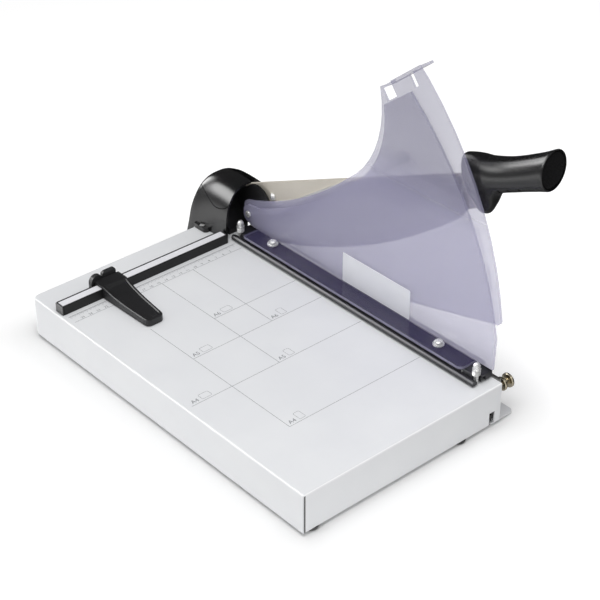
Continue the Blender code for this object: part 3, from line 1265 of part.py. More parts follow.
def make_hood(root):
    """Moulded hood in two shells that meet at a wavy seam, open in front and slotted on top."""
    far = HOOD_HALF_WIDTH * 2
    above = seam_line(CLEAR / 2) + [(HOOD_LENGTH + far, far * 2), (HOOD_FRONT - far, far * 2)]
    below = seam_line(CLEAR / 2 + CLEAR) + [(HOOD_LENGTH + far, -far), (HOOD_FRONT - far, -far)]
    for name, cutter in (("hood_lower", above), ("hood_upper", below)):
        shell = piece(name, hood_solid(0), "black_plastic", root)
        boolean(shell, hood_solid(HOOD_WALL))
        boolean(shell, block((BASE_LEFT, CLEAR), (BASE_FRONT, BASE_REAR + CLEAR),
                             (-BASE_HEIGHT, CLEAR)))
        boolean(shell, prism_x(cutter, HOOD_X - far, HOOD_X + far))
        if name == "hood_upper":
            boolean(shell, block((HOOD_SLOT_LEFT, HOOD_SLOT_RIGHT), (HOOD_FRONT - OVERRUN,
                                                                     HOOD_SLOT_REAR),
                                 (HOOD_HEIGHT / 3, HOOD_HEIGHT + OVERRUN)))
        else:
            add_lug(shell)
    screw("hood_screw", "zinc", root, (lug_x(), LUG_Y, LUG_HEIGHT / 2 + 2 * CLEAR), (0, 0, 0),
          (LUG_SCREW_RADIUS, LUG_HEIGHT / 2 + 2 * CLEAR + SHEET, LUG_SCREW_HEAD, LUG_SCREW_HEAD_HEIGHT))


def add_lug(shell):
    """Foot with a screw recess on the hood's left side."""
    wall = HOOD_X - HOOD_HALF_WIDTH
    half = LUG_LENGTH / 2
    top = LUG_HEIGHT
    front = LUG_Y - half
    rear = min(LUG_Y + half, BASE_REAR)
    plan = rounded_box(wall - LUG_WIDTH, wall + HOOD_WALL / 2, front, rear,
                       (LUG_WIDTH / 2, CLEAR, CLEAR, LUG_WIDTH / 4))
    boolean(shell, prism_z(plan, CLEAR * 1.5, top), "UNION")
    boolean(shell, rod(LUG_SCREW_RADIUS + CLEAR, -OVERRUN, OVERRUN + top, 12),
            location=(lug_x(), LUG_Y, 0))
    boolean(shell, rod(LUG_SCREW_HEAD + CLEAR, top / 2 + CLEAR, top + OVERRUN, 16),
            location=(lug_x(), LUG_Y, 0))


def make_rock_shaft(rock):
    """Shaft along Y with a crank under each lift pin; the frame lies on its axis."""
    front = BASE_FRONT + SHAFT_FRONT_INSET
    piece("rock_shaft", rod(SHAFT_RADIUS, front, SHAFT_REAR, 20), "bright_steel", rock, (0, 0, 0),
          ALONG_Y)
    half = CRANK_WIDTH / 2
    bore = SHAFT_RADIUS + CLEAR / 3
    top = CRANK_RADIUS - CLEAR
    lower = top - CRANK_PAD_THICK
    tip = -CRANK_LENGTH - LIFT_PIN_RADIUS * 1.2
    outline = arc((0, 0), CRANK_RADIUS, 0.5 * math.pi - math.acos(top / CRANK_RADIUS),
                  -1.25 * math.pi / 1.25, 16)
    outline += [(-CRANK_RADIUS, lower), (tip, lower), (tip, top)]
    for name, y in (("rock_crank_front", LIFT_PIN_FRONT), ("rock_crank_rear", LIFT_PIN_REAR)):
        crank = piece(name, prism_y(outline, y - half, y + half), "zinc", rock)
        boolean(crank, rod(bore, y - CRANK_WIDTH, y + CRANK_WIDTH, 20), rotation=ALONG_Y)
    make_cam_lever(rock, bore)


def make_cam_lever(rock, bore):
    """Lever that passes through the side wall and ends under the arm's hub."""
    low = CAM_RISE - CAM_THICK
    shoulder = CRANK_RADIUS + CAM_THICK / 2
    tip = arc((CAM_REACH, low + CAM_THICK / 2), CAM_THICK / 2, -0.5 * math.pi, 0.5 * math.pi, 8)
    outline = arc((0, 0), CRANK_RADIUS, math.pi, 2 * math.pi, 12)
    outline += [(shoulder, low)] + tip + [(CRANK_RADIUS - CAM_THICK / 2, CAM_RISE),
                                          (-CRANK_RADIUS, CRANK_RADIUS)]
    half = CAM_WIDTH / 2
    lever = piece("cam_lever", prism_y(outline, CAM_Y - half, CAM_Y + half), "zinc", rock)
    boolean(lever, rod(bore, CAM_Y - CAM_WIDTH, CAM_Y + CAM_WIDTH, 20), rotation=ALONG_Y)


def make_bearings(root):
    """Hangers from the table that carry the rock shaft."""
    half = BEARING_WIDTH / 2
    outer = SHAFT_RADIUS + BEARING_WALL
    outline = arc((SHAFT_X, SHAFT_Z), outer, math.pi, 2 * math.pi, 10)
    outline += [(SHAFT_X + half, -SHEET - CLEAR), (SHAFT_X - half, -SHEET - CLEAR)]
    for name, y in (("shaft_bearing_front", BEARING_FRONT), ("shaft_bearing_rear", BEARING_REAR)):
        hanger = piece(name, prism_y(outline, y, y + BEARING_LENGTH), "black_paint", root)
        boolean(hanger, rod(SHAFT_RADIUS + CLEAR / 3, y - OVERRUN, y + BEARING_LENGTH + OVERRUN, 20),
                location=(SHAFT_X, 0, SHAFT_Z), rotation=ALONG_Y)


def make_lock(root, lock):
    """Spool-shaped knob on a sprung pin through the table's side wall."""
    wall = BASE_RIGHT
    end = LOCK_KNOB_START + LOCK_KNOB_LENGTH
    inner = wall - LOCK_PIN_INSIDE
    disc = LOCK_DISC_THICK
    ring = LOCK_DISC_RADIUS
    profile = [(0, inner), (LOCK_PIN_RADIUS, inner), (LOCK_PIN_RADIUS, inner + LOCK_COLLAR_THICK),
               (LOCK_COLLAR_RADIUS, inner + LOCK_COLLAR_THICK), (LOCK_COLLAR_RADIUS,
                                                                 inner + 2 * LOCK_COLLAR_THICK),
               (LOCK_PIN_RADIUS, inner + 2 * LOCK_COLLAR_THICK), (LOCK_PIN_RADIUS, LOCK_KNOB_START),
               (ring * 0.9, LOCK_KNOB_START), (ring, LOCK_KNOB_START + disc * 0.25),
               (ring, LOCK_KNOB_START + disc * 0.75), (ring * 0.9, LOCK_KNOB_START + disc),
               (LOCK_WAIST_RADIUS, LOCK_KNOB_START + disc * 1.2), (LOCK_WAIST_RADIUS, end - disc * 1.2),
               (ring * 0.95, end - disc), (ring * 1.05, end - disc * 0.75), (ring * 1.05,
                                                                             end - disc * 0.25),
               (ring * 0.95, end), (ring * 0.5, end), (ring * 0.45, end - disc * 0.15), (0,
                                                                                         end - disc * 0.15)]
    piece("lock_knob", turned(profile, 24), "nickel_brass", lock, rotation=ALONG_X)
    bush_in = wall - SHEET - CLEAR - LOCK_BUSH_OUT
    bore = LOCK_PIN_RADIUS + CLEAR / 3
    bush = [(LOCK_BUSH_RADIUS, bush_in), (LOCK_BUSH_RADIUS, wall + CLEAR),
            (LOCK_BUSH_FLANGE, wall + CLEAR),
            (LOCK_BUSH_FLANGE, wall + LOCK_BUSH_OUT), (bore, wall + LOCK_BUSH_OUT), (bore, bush_in),
            (LOCK_BUSH_RADIUS, bush_in)]
    piece("lock_bush", turned(bush, 20), "black_paint", root, (0, LOCK_Y, LOCK_Z), ALONG_X)


def build():
    clear_scene()
    foot_x, foot_y = foot_places()[0]
    root = empty("cutter", None, (-foot_x, -foot_y, BASE_HEIGHT + FOOT_DROP))
    clamp = empty("clamp_slide", root, (0, 0, CLAMP_BOTTOM))
    blade = empty("blade_axis", root, (0, PIVOT_Y, PIVOT_Z), (-REST_ANGLE, 0, 0))
    rock = empty("rock_axis", root, (SHAFT_X, 0, SHAFT_Z))
    stop = empty("stop_slide", root, (STOP_X, 0, 0))
    lever = empty("lever_axis", stop, (tab_middle_x(), tab_axis_y(), TAB_PIN_HEIGHT))
    lock = empty("lock_axis", root, (0, LOCK_Y, LOCK_Z))
    make_base(root)
    make_feet(root)
    make_foot_plate(root)
    make_bed(root)
    make_fence(root)
    make_stop(stop)
    make_stop_lever(lever)
    make_clamp(clamp)
    make_posts(root, clamp)
    make_guard(clamp)
    make_bracket(root)
    make_pivot(root)
    make_blade(blade)
    make_handle(blade)
    make_hood(root)
    make_rock_shaft(rock)
    make_bearings(root)
    make_lock(root, lock)


build()
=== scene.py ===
import math

import bmesh
import bpy
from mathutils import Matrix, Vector

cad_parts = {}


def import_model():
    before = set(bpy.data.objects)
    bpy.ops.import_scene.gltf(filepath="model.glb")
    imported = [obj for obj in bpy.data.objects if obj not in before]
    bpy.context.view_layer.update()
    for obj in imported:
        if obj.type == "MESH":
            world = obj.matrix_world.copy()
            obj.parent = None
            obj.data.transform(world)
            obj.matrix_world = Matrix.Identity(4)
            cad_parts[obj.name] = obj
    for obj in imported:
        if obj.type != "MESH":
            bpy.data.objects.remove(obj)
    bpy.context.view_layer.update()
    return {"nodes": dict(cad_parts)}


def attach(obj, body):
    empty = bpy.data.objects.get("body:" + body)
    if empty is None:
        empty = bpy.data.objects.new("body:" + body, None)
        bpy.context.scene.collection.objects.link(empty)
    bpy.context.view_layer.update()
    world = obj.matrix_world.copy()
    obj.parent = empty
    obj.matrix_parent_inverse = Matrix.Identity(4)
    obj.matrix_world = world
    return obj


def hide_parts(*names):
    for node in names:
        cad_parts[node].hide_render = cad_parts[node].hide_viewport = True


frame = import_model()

# The cutter's own frame, in mm: X = 0 is the cut, Y = 0 the fence, Z = 0 the table's top.
# These are its origin and the table's middle in the model's frame, in m.
ORIGIN_X, ORIGIN_Y, TABLE_TOP = 0.2523, 0.375, 0.0495
TABLE_MIDDLE = Vector((0.11625, 0.2125, TABLE_TOP))


def cut(x, y, z=0.0):
    """Millimetres in the cutter's own frame to metres in the model's frame."""
    return (x / 1000 + ORIGIN_X, y / 1000 + ORIGIN_Y, z / 1000 + TABLE_TOP)


# Shader nodes
def tree(name):
    m = bpy.data.materials.new(name)
    m.use_nodes = True
    return m, m.node_tree, m.node_tree.nodes["Principled BSDF"]


def node(t, kind, **settings):
    n = t.nodes.new("ShaderNode" + kind)
    for key, value in settings.items():
        setattr(n, key, value)
    return n


def link(t, a, b):
    t.links.new(a, b)


def calculate(t, operation, *parts):
    """Math node over the given sockets."""
    n = node(t, "Math", operation=operation)
    for socket, part in zip(n.inputs, parts):
        link(t, part, socket)
    return n.outputs[0]


def axes(t, vector):
    n = node(t, "SeparateXYZ")
    link(t, vector, n.inputs[0])
    return n.outputs


def coords(t, scale=(1, 1, 1)):
    mapping = node(t, "Mapping")
    mapping.inputs["Scale"].default_value = scale
    link(t, node(t, "TexCoord").outputs["Object"], mapping.inputs["Vector"])
    return mapping.outputs["Vector"]


def noise(t, vec, scale, detail=3.0, rough=0.5):
    n = node(t, "TexNoise")
    n.inputs["Scale"].default_value = scale
    n.inputs["Detail"].default_value = detail
    n.inputs["Roughness"].default_value = rough
    link(t, vec, n.inputs["Vector"])
    return n.outputs["Fac"]


def spread(t, value, low, high, from_low=0.3, from_high=0.7):
    """Maps one range of values to another, clamped at both ends."""
    n = node(t, "MapRange")
    for name, number in (("From Min", from_low), ("From Max", from_high), ("To Min", low),
                         ("To Max", high)):
        n.inputs[name].default_value = number
    link(t, value, n.inputs["Value"])
    return n.outputs["Result"]


def mix_colour(t, fac, a, b):
    """Mixes two colours, each given as three numbers or as a socket."""
    n = node(t, "Mix", data_type="RGBA")
    link(t, fac, n.inputs["Factor"])
    for socket, colour in ((n.inputs[6], a), (n.inputs[7], b)):
        if isinstance(colour, tuple):
            socket.default_value = (*colour, 1)
        else:
            link(t, colour, socket)
    return n.outputs[2]


def paint_over(t, p, fac, colour):
    """Lays a colour over what the shader's base colour already gets."""
    below = p.inputs["Base Color"].links[0].from_socket
    link(t, mix_colour(t, fac, below, colour), p.inputs["Base Color"])


def bump(t, p, height, strength, distance=0.0002):
    n = node(t, "Bump")
    n.inputs["Strength"].default_value = strength
    n.inputs["Distance"].default_value = distance
    link(t, height, n.inputs["Height"])
    link(t, n.outputs["Normal"], p.inputs["Normal"])


# Materials
def surface(name, dark, light, rough, metallic=0.0, grain=900, relief=0.15, stretch=(1, 1, 1),
            spec=0.5):
    """Base finish: slow colour patches, roughness that varies and a fine grain."""
    m, t, p = tree(name)
    patches = spread(t, noise(t, coords(t), 18, 4), 0, 1)
    link(t, mix_colour(t, patches, dark, light), p.inputs["Base Color"])
    fine = noise(t, coords(t, stretch), grain, 2, 0.6)
    link(t, spread(t, fine, *rough, 0.25, 0.75), p.inputs["Roughness"])
    p.inputs["Metallic"].default_value = metallic
    p.inputs["Specular IOR Level"].default_value = spec
    bump(t, p, fine, relief)
    return m


def ink(name, colour):
    m, t, p = tree(name)
    lighter = tuple(min(1, c * 1.18) for c in colour)
    grain = spread(t, noise(t, coords(t), 420, 2), 0, 1)
    link(t, mix_colour(t, grain, colour, lighter), p.inputs["Base Color"])
    p.inputs["Roughness"].default_value = 0.55
    return m


def edge_tint(m, colour):
    """Mixes a colour partly over convex edges; on dark parts this is a painted highlight."""
    t = m.node_tree
    convex_edges = spread(t, node(t, "NewGeometry").outputs["Pointiness"], 0, 0.6, 0.56, 0.70)
    paint_over(t, t.nodes["Principled BSDF"], convex_edges, colour)


def fold_light(m, colour):
    """Painted highlight: the table's folded edges are painted lighter than its flat faces."""
    t = m.node_tree
    upward = axes(t, node(t, "NewGeometry").outputs["Normal"])["Z"]
    fold_highlight = calculate(t, "MULTIPLY", spread(t, upward, 0, 1, 0.15, 0.5),
                     spread(t, upward, 1, 0, 0.80, 0.97))
    paint_over(t, t.nodes["Principled BSDF"], fold_highlight, colour)


def clear_sheet(name, tints, alpha):
    """Smoky clear sheet: slow tint clouds, darker towards the top, and painted shade on the flat
    flange over the clamp.
    """
    m, t, p = tree(name)
    vec = coords(t)
    p.inputs["Alpha"].default_value = alpha
    geometry = node(t, "NewGeometry").outputs
    height = axes(t, geometry["Position"])["Z"]
    clouds = mix_colour(t, spread(t, noise(t, vec, 7, 3), 0, 1), *tints)
    top = spread(t, height, 0, 1, TABLE_TOP + 0.150, TABLE_TOP + 0.200)
    link(t, mix_colour(t, top, clouds, (0.31, 0.30, 0.43)), p.inputs["Base Color"])
    # Painted shade: flat faces low down, on the flange over the dark clamp, get a darker colour.
    low = spread(t, height, 1, 0, TABLE_TOP + 0.0150, TABLE_TOP + 0.0185)
    level = spread(t, calculate(t, "ABSOLUTE", axes(t, geometry["Normal"])["Z"]), 0, 1, 0.5, 0.9)
    paint_over(t, p, calculate(t, "MULTIPLY", low, level), (0.060, 0.052, 0.125))
    link(t, spread(t, noise(t, vec, 60, 4), 0.05, 0.12), p.inputs["Roughness"])
    bump(t, p, noise(t, vec, 9, 1), 0.06, 0.001)
    m.surface_render_method = "BLENDED"
    return m


PAINT = surface("table_coat", (0.775, 0.785, 0.805), (0.805, 0.815, 0.83), (0.36, 0.46),
                grain=1500, relief=0.10)
SIDE_PAINT = surface("plate_coat", (0.66, 0.67, 0.69), (0.70, 0.71, 0.73), (0.40, 0.5),
                     grain=1500, relief=0.1)
BED_STEEL = surface("bed_steel", (0.50, 0.50, 0.50), (0.60, 0.60, 0.59), (0.22, 0.38),
                    metallic=1.0, grain=700, relief=0.10, stretch=(1, 0.02, 1))
KNIFE_STEEL = surface("knife_steel", (0.56, 0.56, 0.56), (0.60, 0.60, 0.595), (0.30, 0.36),
                      metallic=1.0, grain=2600, relief=0.03, stretch=(1, 1, 0.3))
ARM_PAINT = surface("arm_coat", (0.64, 0.60, 0.52), (0.69, 0.645, 0.565), (0.36, 0.46),
                    grain=1300, relief=0.14)
GRIP = surface("grip_plastic", (0.005, 0.005, 0.0055), (0.008, 0.008, 0.0085), (0.20, 0.30),
               grain=1600, relief=0.18, spec=0.4)
HOOD = surface("hood_plastic", (0.007, 0.007, 0.0075), (0.011, 0.011, 0.0115), (0.18, 0.28),
               grain=1500, relief=0.12, spec=0.45)
STOP = surface("stop_plastic", (0.012, 0.012, 0.013), (0.018, 0.018, 0.0195), (0.36, 0.5),
               grain=1500, relief=0.2, spec=0.4)
BLACK = surface("black_coat", (0.006, 0.006, 0.0065), (0.010, 0.010, 0.0105), (0.38, 0.5),
                grain=1400, relief=0.15, spec=0.35)
CLAMP = surface("clamp_coat", (0.006, 0.006, 0.009), (0.010, 0.010, 0.014), (0.28, 0.40),
                metallic=0.2, grain=900, relief=0.08, stretch=(1, 0.05, 1))
STRIP = surface("strip_white", (0.76, 0.76, 0.79), (0.82, 0.82, 0.85), (0.35, 0.5),
                grain=1200, relief=0.05)
RUBBER = surface("foot_rubber", (0.02, 0.02, 0.02), (0.035, 0.035, 0.035), (0.7, 0.85),
                 grain=1200, relief=0.3)
ZINC = surface("zinc", (0.66, 0.66, 0.66), (0.76, 0.76, 0.75), (0.22, 0.34),
               metallic=0.6, grain=900, relief=0.1)
SPRING = surface("spring_wire", (0.74, 0.74, 0.74), (0.82, 0.82, 0.81), (0.25, 0.35),
                 metallic=0.5, grain=900, relief=0.05)
KNOB = surface("knob_metal", (0.50, 0.44, 0.32), (0.60, 0.54, 0.42), (0.16, 0.28),
               metallic=1.0, grain=900, relief=0.08)
LABEL = surface("label_white", (0.86, 0.87, 0.93), (0.90, 0.91, 0.96), (0.35, 0.45),
                grain=900, relief=0.03)
GUARD = clear_sheet("guard_sheet", ((0.52, 0.505, 0.68), (0.55, 0.535, 0.72)), 0.42)
INK = ink("scale_ink", (0.17, 0.175, 0.185))
# Dark ink for the corner joint and for a painted shadow along the fence's strip.
DARK_JOINT_AND_SHADOW = ink("joint_and_strip_shadow", (0.02, 0.02, 0.02))

# Painted highlight along the table's folds.
fold_light(PAINT, (0.97, 0.97, 0.98))
# Painted highlight: convex edges of the grip, hood, clamp and stop are lighter; the arm's edges are
# darker.
for edge_tinted_look, edge_colour in ((GRIP, (0.03, 0.03, 0.031)), (HOOD, (0.03, 0.03, 0.031)),
                               (CLAMP, (0.06, 0.06, 0.065)), (STOP, (0.06, 0.06, 0.062)),
                               (ARM_PAINT, (0.58, 0.55, 0.50))):
    edge_tint(edge_tinted_look, edge_colour)

# Looks of the CAD nodes. Feet are rubber, and every node not named here is a zinc fastener.
LOOKS = {
    PAINT: ["base_tray"], SIDE_PAINT: ["side_foot_plate"], BED_STEEL: ["bed_knife", "knife_rail"],
    KNIFE_STEEL: ["knife"], ARM_PAINT: ["blade_arm"], GRIP: ["handle_grip"],
    HOOD: ["hood_upper", "hood_lower"], STOP: ["stop_body", "stop_lever", "fence_end_cap"],
    BLACK: ["fence_bar", "pivot_bracket", "shaft_bearing_front", "shaft_bearing_rear", "lock_bush",
            "rock_shaft", "rock_crank_front", "rock_crank_rear", "cam_lever"],
    STRIP: ["fence_strip"], CLAMP: ["clamp_bar"], GUARD: ["guard_front", "guard_rear"],
    SPRING: ["clamp_spring_front", "clamp_spring_rear", "spring_washer"], KNOB: ["lock_knob"],
}
look_of = {part: look for look, parts in LOOKS.items() for part in parts}
for part, obj in frame["nodes"].items():
    obj.data.materials.clear()
    obj.data.materials.append(look_of.get(part) or (RUBBER if part.startswith("foot_") else ZINC))


# Meshes
def place(name, bm):
    me = bpy.data.meshes.new(name)
    bm.to_mesh(me)
    bm.free()
    o = bpy.data.objects.new(name, me)
    bpy.context.scene.collection.objects.link(o)
    return o


def add(name, bm, look, body):
    o = place(name, bm)
    o.data.materials.append(look)
    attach(o, body)


def skin(rings):
    """Closed solid through rings of points, with a flat face at both ends."""
    bm = bmesh.new()
    rows = [[bm.verts.new(p) for p in ring] for ring in rings]
    for a, b in zip(rows, rows[1:]):
        for k in range(len(a)):
            n = (k + 1) % len(a)
            bm.faces.new((a[k], a[n], b[n], b[k]))
    bm.faces.new(rows[0])
    bm.faces.new(rows[-1])
    bmesh.ops.recalc_face_normals(bm, faces=bm.faces)
    return bm


def prism(points, axis, low, high):
    """Closed prism over a plan in the cutter's frame, along X or Z."""
    return skin([[cut(level, *p) if axis == "X" else cut(*p, level) for p in points]
                 for level in (low, high)])


def round_tool(x, y, radius, low, high):
    """Upright cylinder."""
    return prism([(x + radius * math.cos(math.radians(a)), y + radius * math.sin(math.radians(a)))
                  for a in range(0, 360, 12)], "Z", low, high)


def rounded_outline(x0, x1, y0, y1, radii, steps):
    """Rectangle with a radius for each corner: right rear, left rear, left front, right front."""
    points = []
    corners = ((x1, y1, -1, -1), (x0, y1, 1, -1), (x0, y0, 1, 1), (x1, y0, -1, 1))
    for number, ((x, y, inward_x, inward_y), r) in enumerate(zip(corners, radii)):
        for k in range(steps + 1):
            turn = math.radians(90 * (number + k / steps))
            points.append((x + inward_x * r + r * math.cos(turn),
                           y + inward_y * r + r * math.sin(turn)))
    return points


def smooth_stations(rows, steps):
    """Catmull-Rom curve through rows of numbers, with a number of steps between each two."""
    out = []
    last = len(rows) - 1
    for n in range(last):
        near = rows[max(n - 1, 0)], rows[n], rows[n + 1], rows[min(n + 2, last)]
        for k in range(steps):
            t = k / steps
            weights = (-t + 2 * t * t - t ** 3, 2 - 5 * t * t + 3 * t ** 3,
                       t + 4 * t * t - 3 * t ** 3, -t * t + t ** 3)
            out.append(tuple(sum(w * v for w, v in zip(weights, values)) / 2 for values in zip(*near)))
    return out + [rows[-1]]


def carved(name, bm, steps, look, body, angle=32):
    """Runs Boolean steps over a solid and keeps only the result, sharp above an angle."""
    work = place(name + "_work", bm)
    tools = []
    for operation, tool_bm in steps:
        tool = place(name + "_tool", tool_bm)
        mod = work.modifiers.new("step", "BOOLEAN")
        mod.operation = operation
        mod.object = tool
        tools.append(tool)
    bpy.context.view_layer.update()
    graph = bpy.context.evaluated_depsgraph_get()
    me = bpy.data.meshes.new_from_object(work.evaluated_get(graph))
    for o in [work] + tools:
        bpy.data.objects.remove(o)
    me.name = name
    me.materials.clear()
    me.materials.append(look)
    me.shade_smooth()
    me.set_sharp_from_angle(angle=math.radians(angle))
    made = bpy.data.objects.new(name, me)
    bpy.context.scene.collection.objects.link(made)
    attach(made, body)
    return made


# Print on the table, in mm
PRINT_HEIGHT = 0.02
GRID_WIDTH = 0.45
GRID_LINES = (
    (-105, -14.5, -105, -148), (-148, -14.5, -148, -210), (-210, -76, -210, -297),
    (-148, -105, -35, -105), (-210, -148, -35, -148), (-260.6, -210, -35, -210),
    (-210, -297, -35, -297),
)
# Paper size, the corner that it stands in, and the size of the sheet drawn beside it.
LYING, STANDING = (12.0, 8.0), (7.5, 11.0)
MARKS = (
    ("A6", -148, -105, LYING), ("A6", -105, -148, STANDING), ("A5", -210, -148, LYING),
    ("A5", -148, -210, STANDING), ("A4", -260.6, -210, LYING), ("A4", -210, -297, STANDING),
)
MARK_RIGHT, MARK_UP, MARK_SIZE = 3.2, 2.6, 7.5
SHEET_RIGHT, SHEET_RADIUS, SHEET_LINE = 15.5, 1.4, 0.35
RULER_LEFT, RULER_RIGHT, RULER_REAR, RULER_FRONT = -262, -36, -2.2, -14.2
TICK_CM, TICK_HALF, TICK_MM, TICK_WIDTH = 4.6, 3.4, 2.2, 0.22
NUMBER_Y, NUMBER_SIZE = -12.9, 4.6


def line(bm, x0, y0, x1, y1, width, z=PRINT_HEIGHT):
    """Flat line from one point to another."""
    a, b = Vector((x0, y0)), Vector((x1, y1))
    d = (b - a).normalized()
    n = Vector((-d.y, d.x)) * width / 2
    bm.faces.new([bm.verts.new(cut(p.x, p.y, z)) for p in (a - n, b - n, b + n, a + n)])


def lettering(name, text, x, y, size, align="LEFT"):
    curve = bpy.data.curves.new(name, "FONT")
    curve.body = text
    curve.size = size / 1000
    curve.align_x = align
    o = bpy.data.objects.new(name, curve)
    bpy.context.scene.collection.objects.link(o)
    o.location = cut(x, y, PRINT_HEIGHT)
    curve.materials.append(INK)
    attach(o, "base")


def print_grid():
    """Lines at the edges of the ISO sheets, measured from the fence and the cut, with their marks."""
    bm = bmesh.new()
    for ends in GRID_LINES:
        line(bm, *ends, GRID_WIDTH)
    for number, (word, x, y, (wide, high)) in enumerate(MARKS):
        lettering(f"mark_{word}_{number}", word, x + MARK_RIGHT, y + MARK_UP, MARK_SIZE)
        left, low = x + SHEET_RIGHT, y + MARK_UP
        sheet = rounded_outline(left, left + wide, low, low + high, (SHEET_RADIUS,) * 4, 3)
        for a, b in zip(sheet, sheet[1:] + sheet[:1]):
            line(bm, *a, *b, SHEET_LINE)
    add("paper_grid", bm, INK, "base")


def print_ruler():
    """Millimetre scale along the fence."""
    bm = bmesh.new()
    line(bm, RULER_LEFT, RULER_REAR, RULER_RIGHT, RULER_REAR, 0.5)
    line(bm, RULER_LEFT, RULER_FRONT, RULER_RIGHT, RULER_FRONT, 0.4)
    for mm in range(40, 262):
        tall = TICK_CM if mm % 10 == 0 else (TICK_HALF if mm % 5 == 0 else TICK_MM)
        line(bm, -mm, RULER_REAR, -mm, RULER_REAR - tall, TICK_WIDTH)
    add("fence_ruler", bm, INK, "base")
    for cm in range(5, 26):
        lettering(f"ruler_{cm}", str(cm), -cm * 10, NUMBER_Y, NUMBER_SIZE, "CENTER")


# Pivot cover, in mm. Each station is a place along Y, a share of the full width and a top.
HOOD_STATIONS = (
    (9.0, 1.0, 63.0), (16.0, 1.0, 63.7), (24.0, 1.0, 64.0), (34.0, 1.0, 64.0), (42.0, 1.0, 63.4),
    (50.0, 1.0, 61.6), (57.0, 1.0, 59.2), (62.0, 1.0, 56.4), (66.0, 0.995, 52.8), (69.0, 0.98, 48.0),
    (71.0, 0.965, 42.0), (72.2, 0.94, 34.0), (72.8, 0.90, 24.0),
)
HOOD_MIDDLE, HOOD_HALF, HOOD_FOOT, HOOD_SHOULDER, HOOD_WALL = -6, 33.0, -12.0, 8, 2.4
HOOD_FRONT, HOOD_FRONT_TOP = 5.0, 63.0
SQUARENESS = 0.8
SPLAY, SPLAY_FROM, SPLAY_OVER, SPLAY_HEIGHT = 7.5, 26, 36, 44
# The wavy seam between the two shells: place along Y and height, and half the gap.
SEAM = ((-4, 51.5), (2, 47.5), (9, 42.5), (14, 38.4), (20, 35.8), (27, 34.4), (33, 35.0), (38, 37.0),
        (43, 39.4), (48, 41.8), (54, 44.0), (62, 46.0), (86, 50.0))
SEAM_HALF = 0.45
LUG_SCREW_X, LUG_SCREW_Y = -43.2, 47.0


def arch(y, wide, top, wall):
    """Section of the hood: a squarish arch whose left foot splays towards the rear."""
    half = HOOD_HALF * wide - wall
    rise = top - wall - HOOD_SHOULDER
    foot = HOOD_FOOT - (2.0 if wall else 0.0)
    leg = HOOD_SHOULDER - foot
    splay = SPLAY * max(0.0, min(1.0, (y - SPLAY_FROM) / SPLAY_OVER))
    section = [(half, foot + leg * k / 8) for k in range(8)]
    for k in range(65):
        c, s = math.cos(math.pi * k / 64), math.sin(math.pi * k / 64)
        section.append((half * math.copysign(abs(c) ** SQUARENESS, c),
                        HOOD_SHOULDER + rise * abs(s) ** SQUARENESS))
    section += [(-half, HOOD_SHOULDER - leg * (k + 1) / 8) for k in range(8)]
    ring = []
    for x, z in section:
        out = splay * max(0.0, 1 - (z + 6) / SPLAY_HEIGHT) ** 1.6 if x < 0 else 0
        ring.append(cut(HOOD_MIDDLE + x - out, y, z))
    return ring


def hood_solid(wall=0.0):
    """The hood's outside, or its inside when a wall is given."""
    rings = []
    for y, wide, top in smooth_stations(HOOD_STATIONS, 3):
        inset = wall * (y - 40) / 33 if y > 40 else 0
        rings.append(arch(y - inset, wide, top, wall))
    if wall:
        rings.insert(0, arch(HOOD_FRONT, 1.0, HOOD_FRONT_TOP, wall))
    return skin(rings)


def moulded_hood():
    """The pivot cover in two shells with the wavy seam, the arm slot and the screw lug."""
    table = [(-300, -400), (0.4, -400), (0.4, 58.7), (-300, 58.7)]
    for name, gap, beyond in (("hood_lower", -SEAM_HALF, 120), ("hood_upper", SEAM_HALF, -60)):
        seam = [(y, z + gap) for y, z in smooth_stations(SEAM, 4)]
        other_half = seam + [(SEAM[-1][0], beyond), (SEAM[0][0], beyond)]
        steps = [("DIFFERENCE", hood_solid(HOOD_WALL)), ("DIFFERENCE", prism(table, "Z", -46, 0.35)),
                 ("DIFFERENCE", prism(other_half, "X", -60, 60))]
        if name == "hood_upper":
            slot = rounded_outline(-1.0, 11.0, 2.0, 57.0, (2.0, 2.0, 0.2, 0.2), 6)
            steps.append(("DIFFERENCE", prism(slot, "Z", 20, 80)))
        else:
            lug = rounded_outline(-47.5, -37.0, 36.5, 57.5, (0.3, 3.0, 4.5, 0.3), 6)
            steps += [("UNION", prism(lug, "Z", 0.45, 6.0)),
                      ("DIFFERENCE", round_tool(LUG_SCREW_X, LUG_SCREW_Y, 3.9, 3.3, 8)),
                      ("DIFFERENCE", round_tool(LUG_SCREW_X, LUG_SCREW_Y, 2.1, -2, 8))]
        made = carved(name + "_moulding", hood_solid(), steps, HOOD, "base")
        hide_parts(name)


# Grip, in mm. Each row is a place along the arm, the section's middle above the arm's axis,
# its half height, its half width, and how much narrower it is below.
GRIP_ROWS = (
    (388.5, 8.2, 27.0, 13.2, 0.35), (391.5, 9.4, 31.0, 15.6, 0.35), (401.0, 9.4, 30.8, 16.8, 0.32),
    (411.0, 12.2, 26.3, 17.2, 0.20), (424.0, 16.2, 18.8, 17.2, 0.05), (451.0, 16.0, 17.1, 16.9, 0.0),
    (482.0, 17.0, 18.2, 17.2, 0.0), (498.5, 18.0, 19.8, 17.6, 0.0),
)
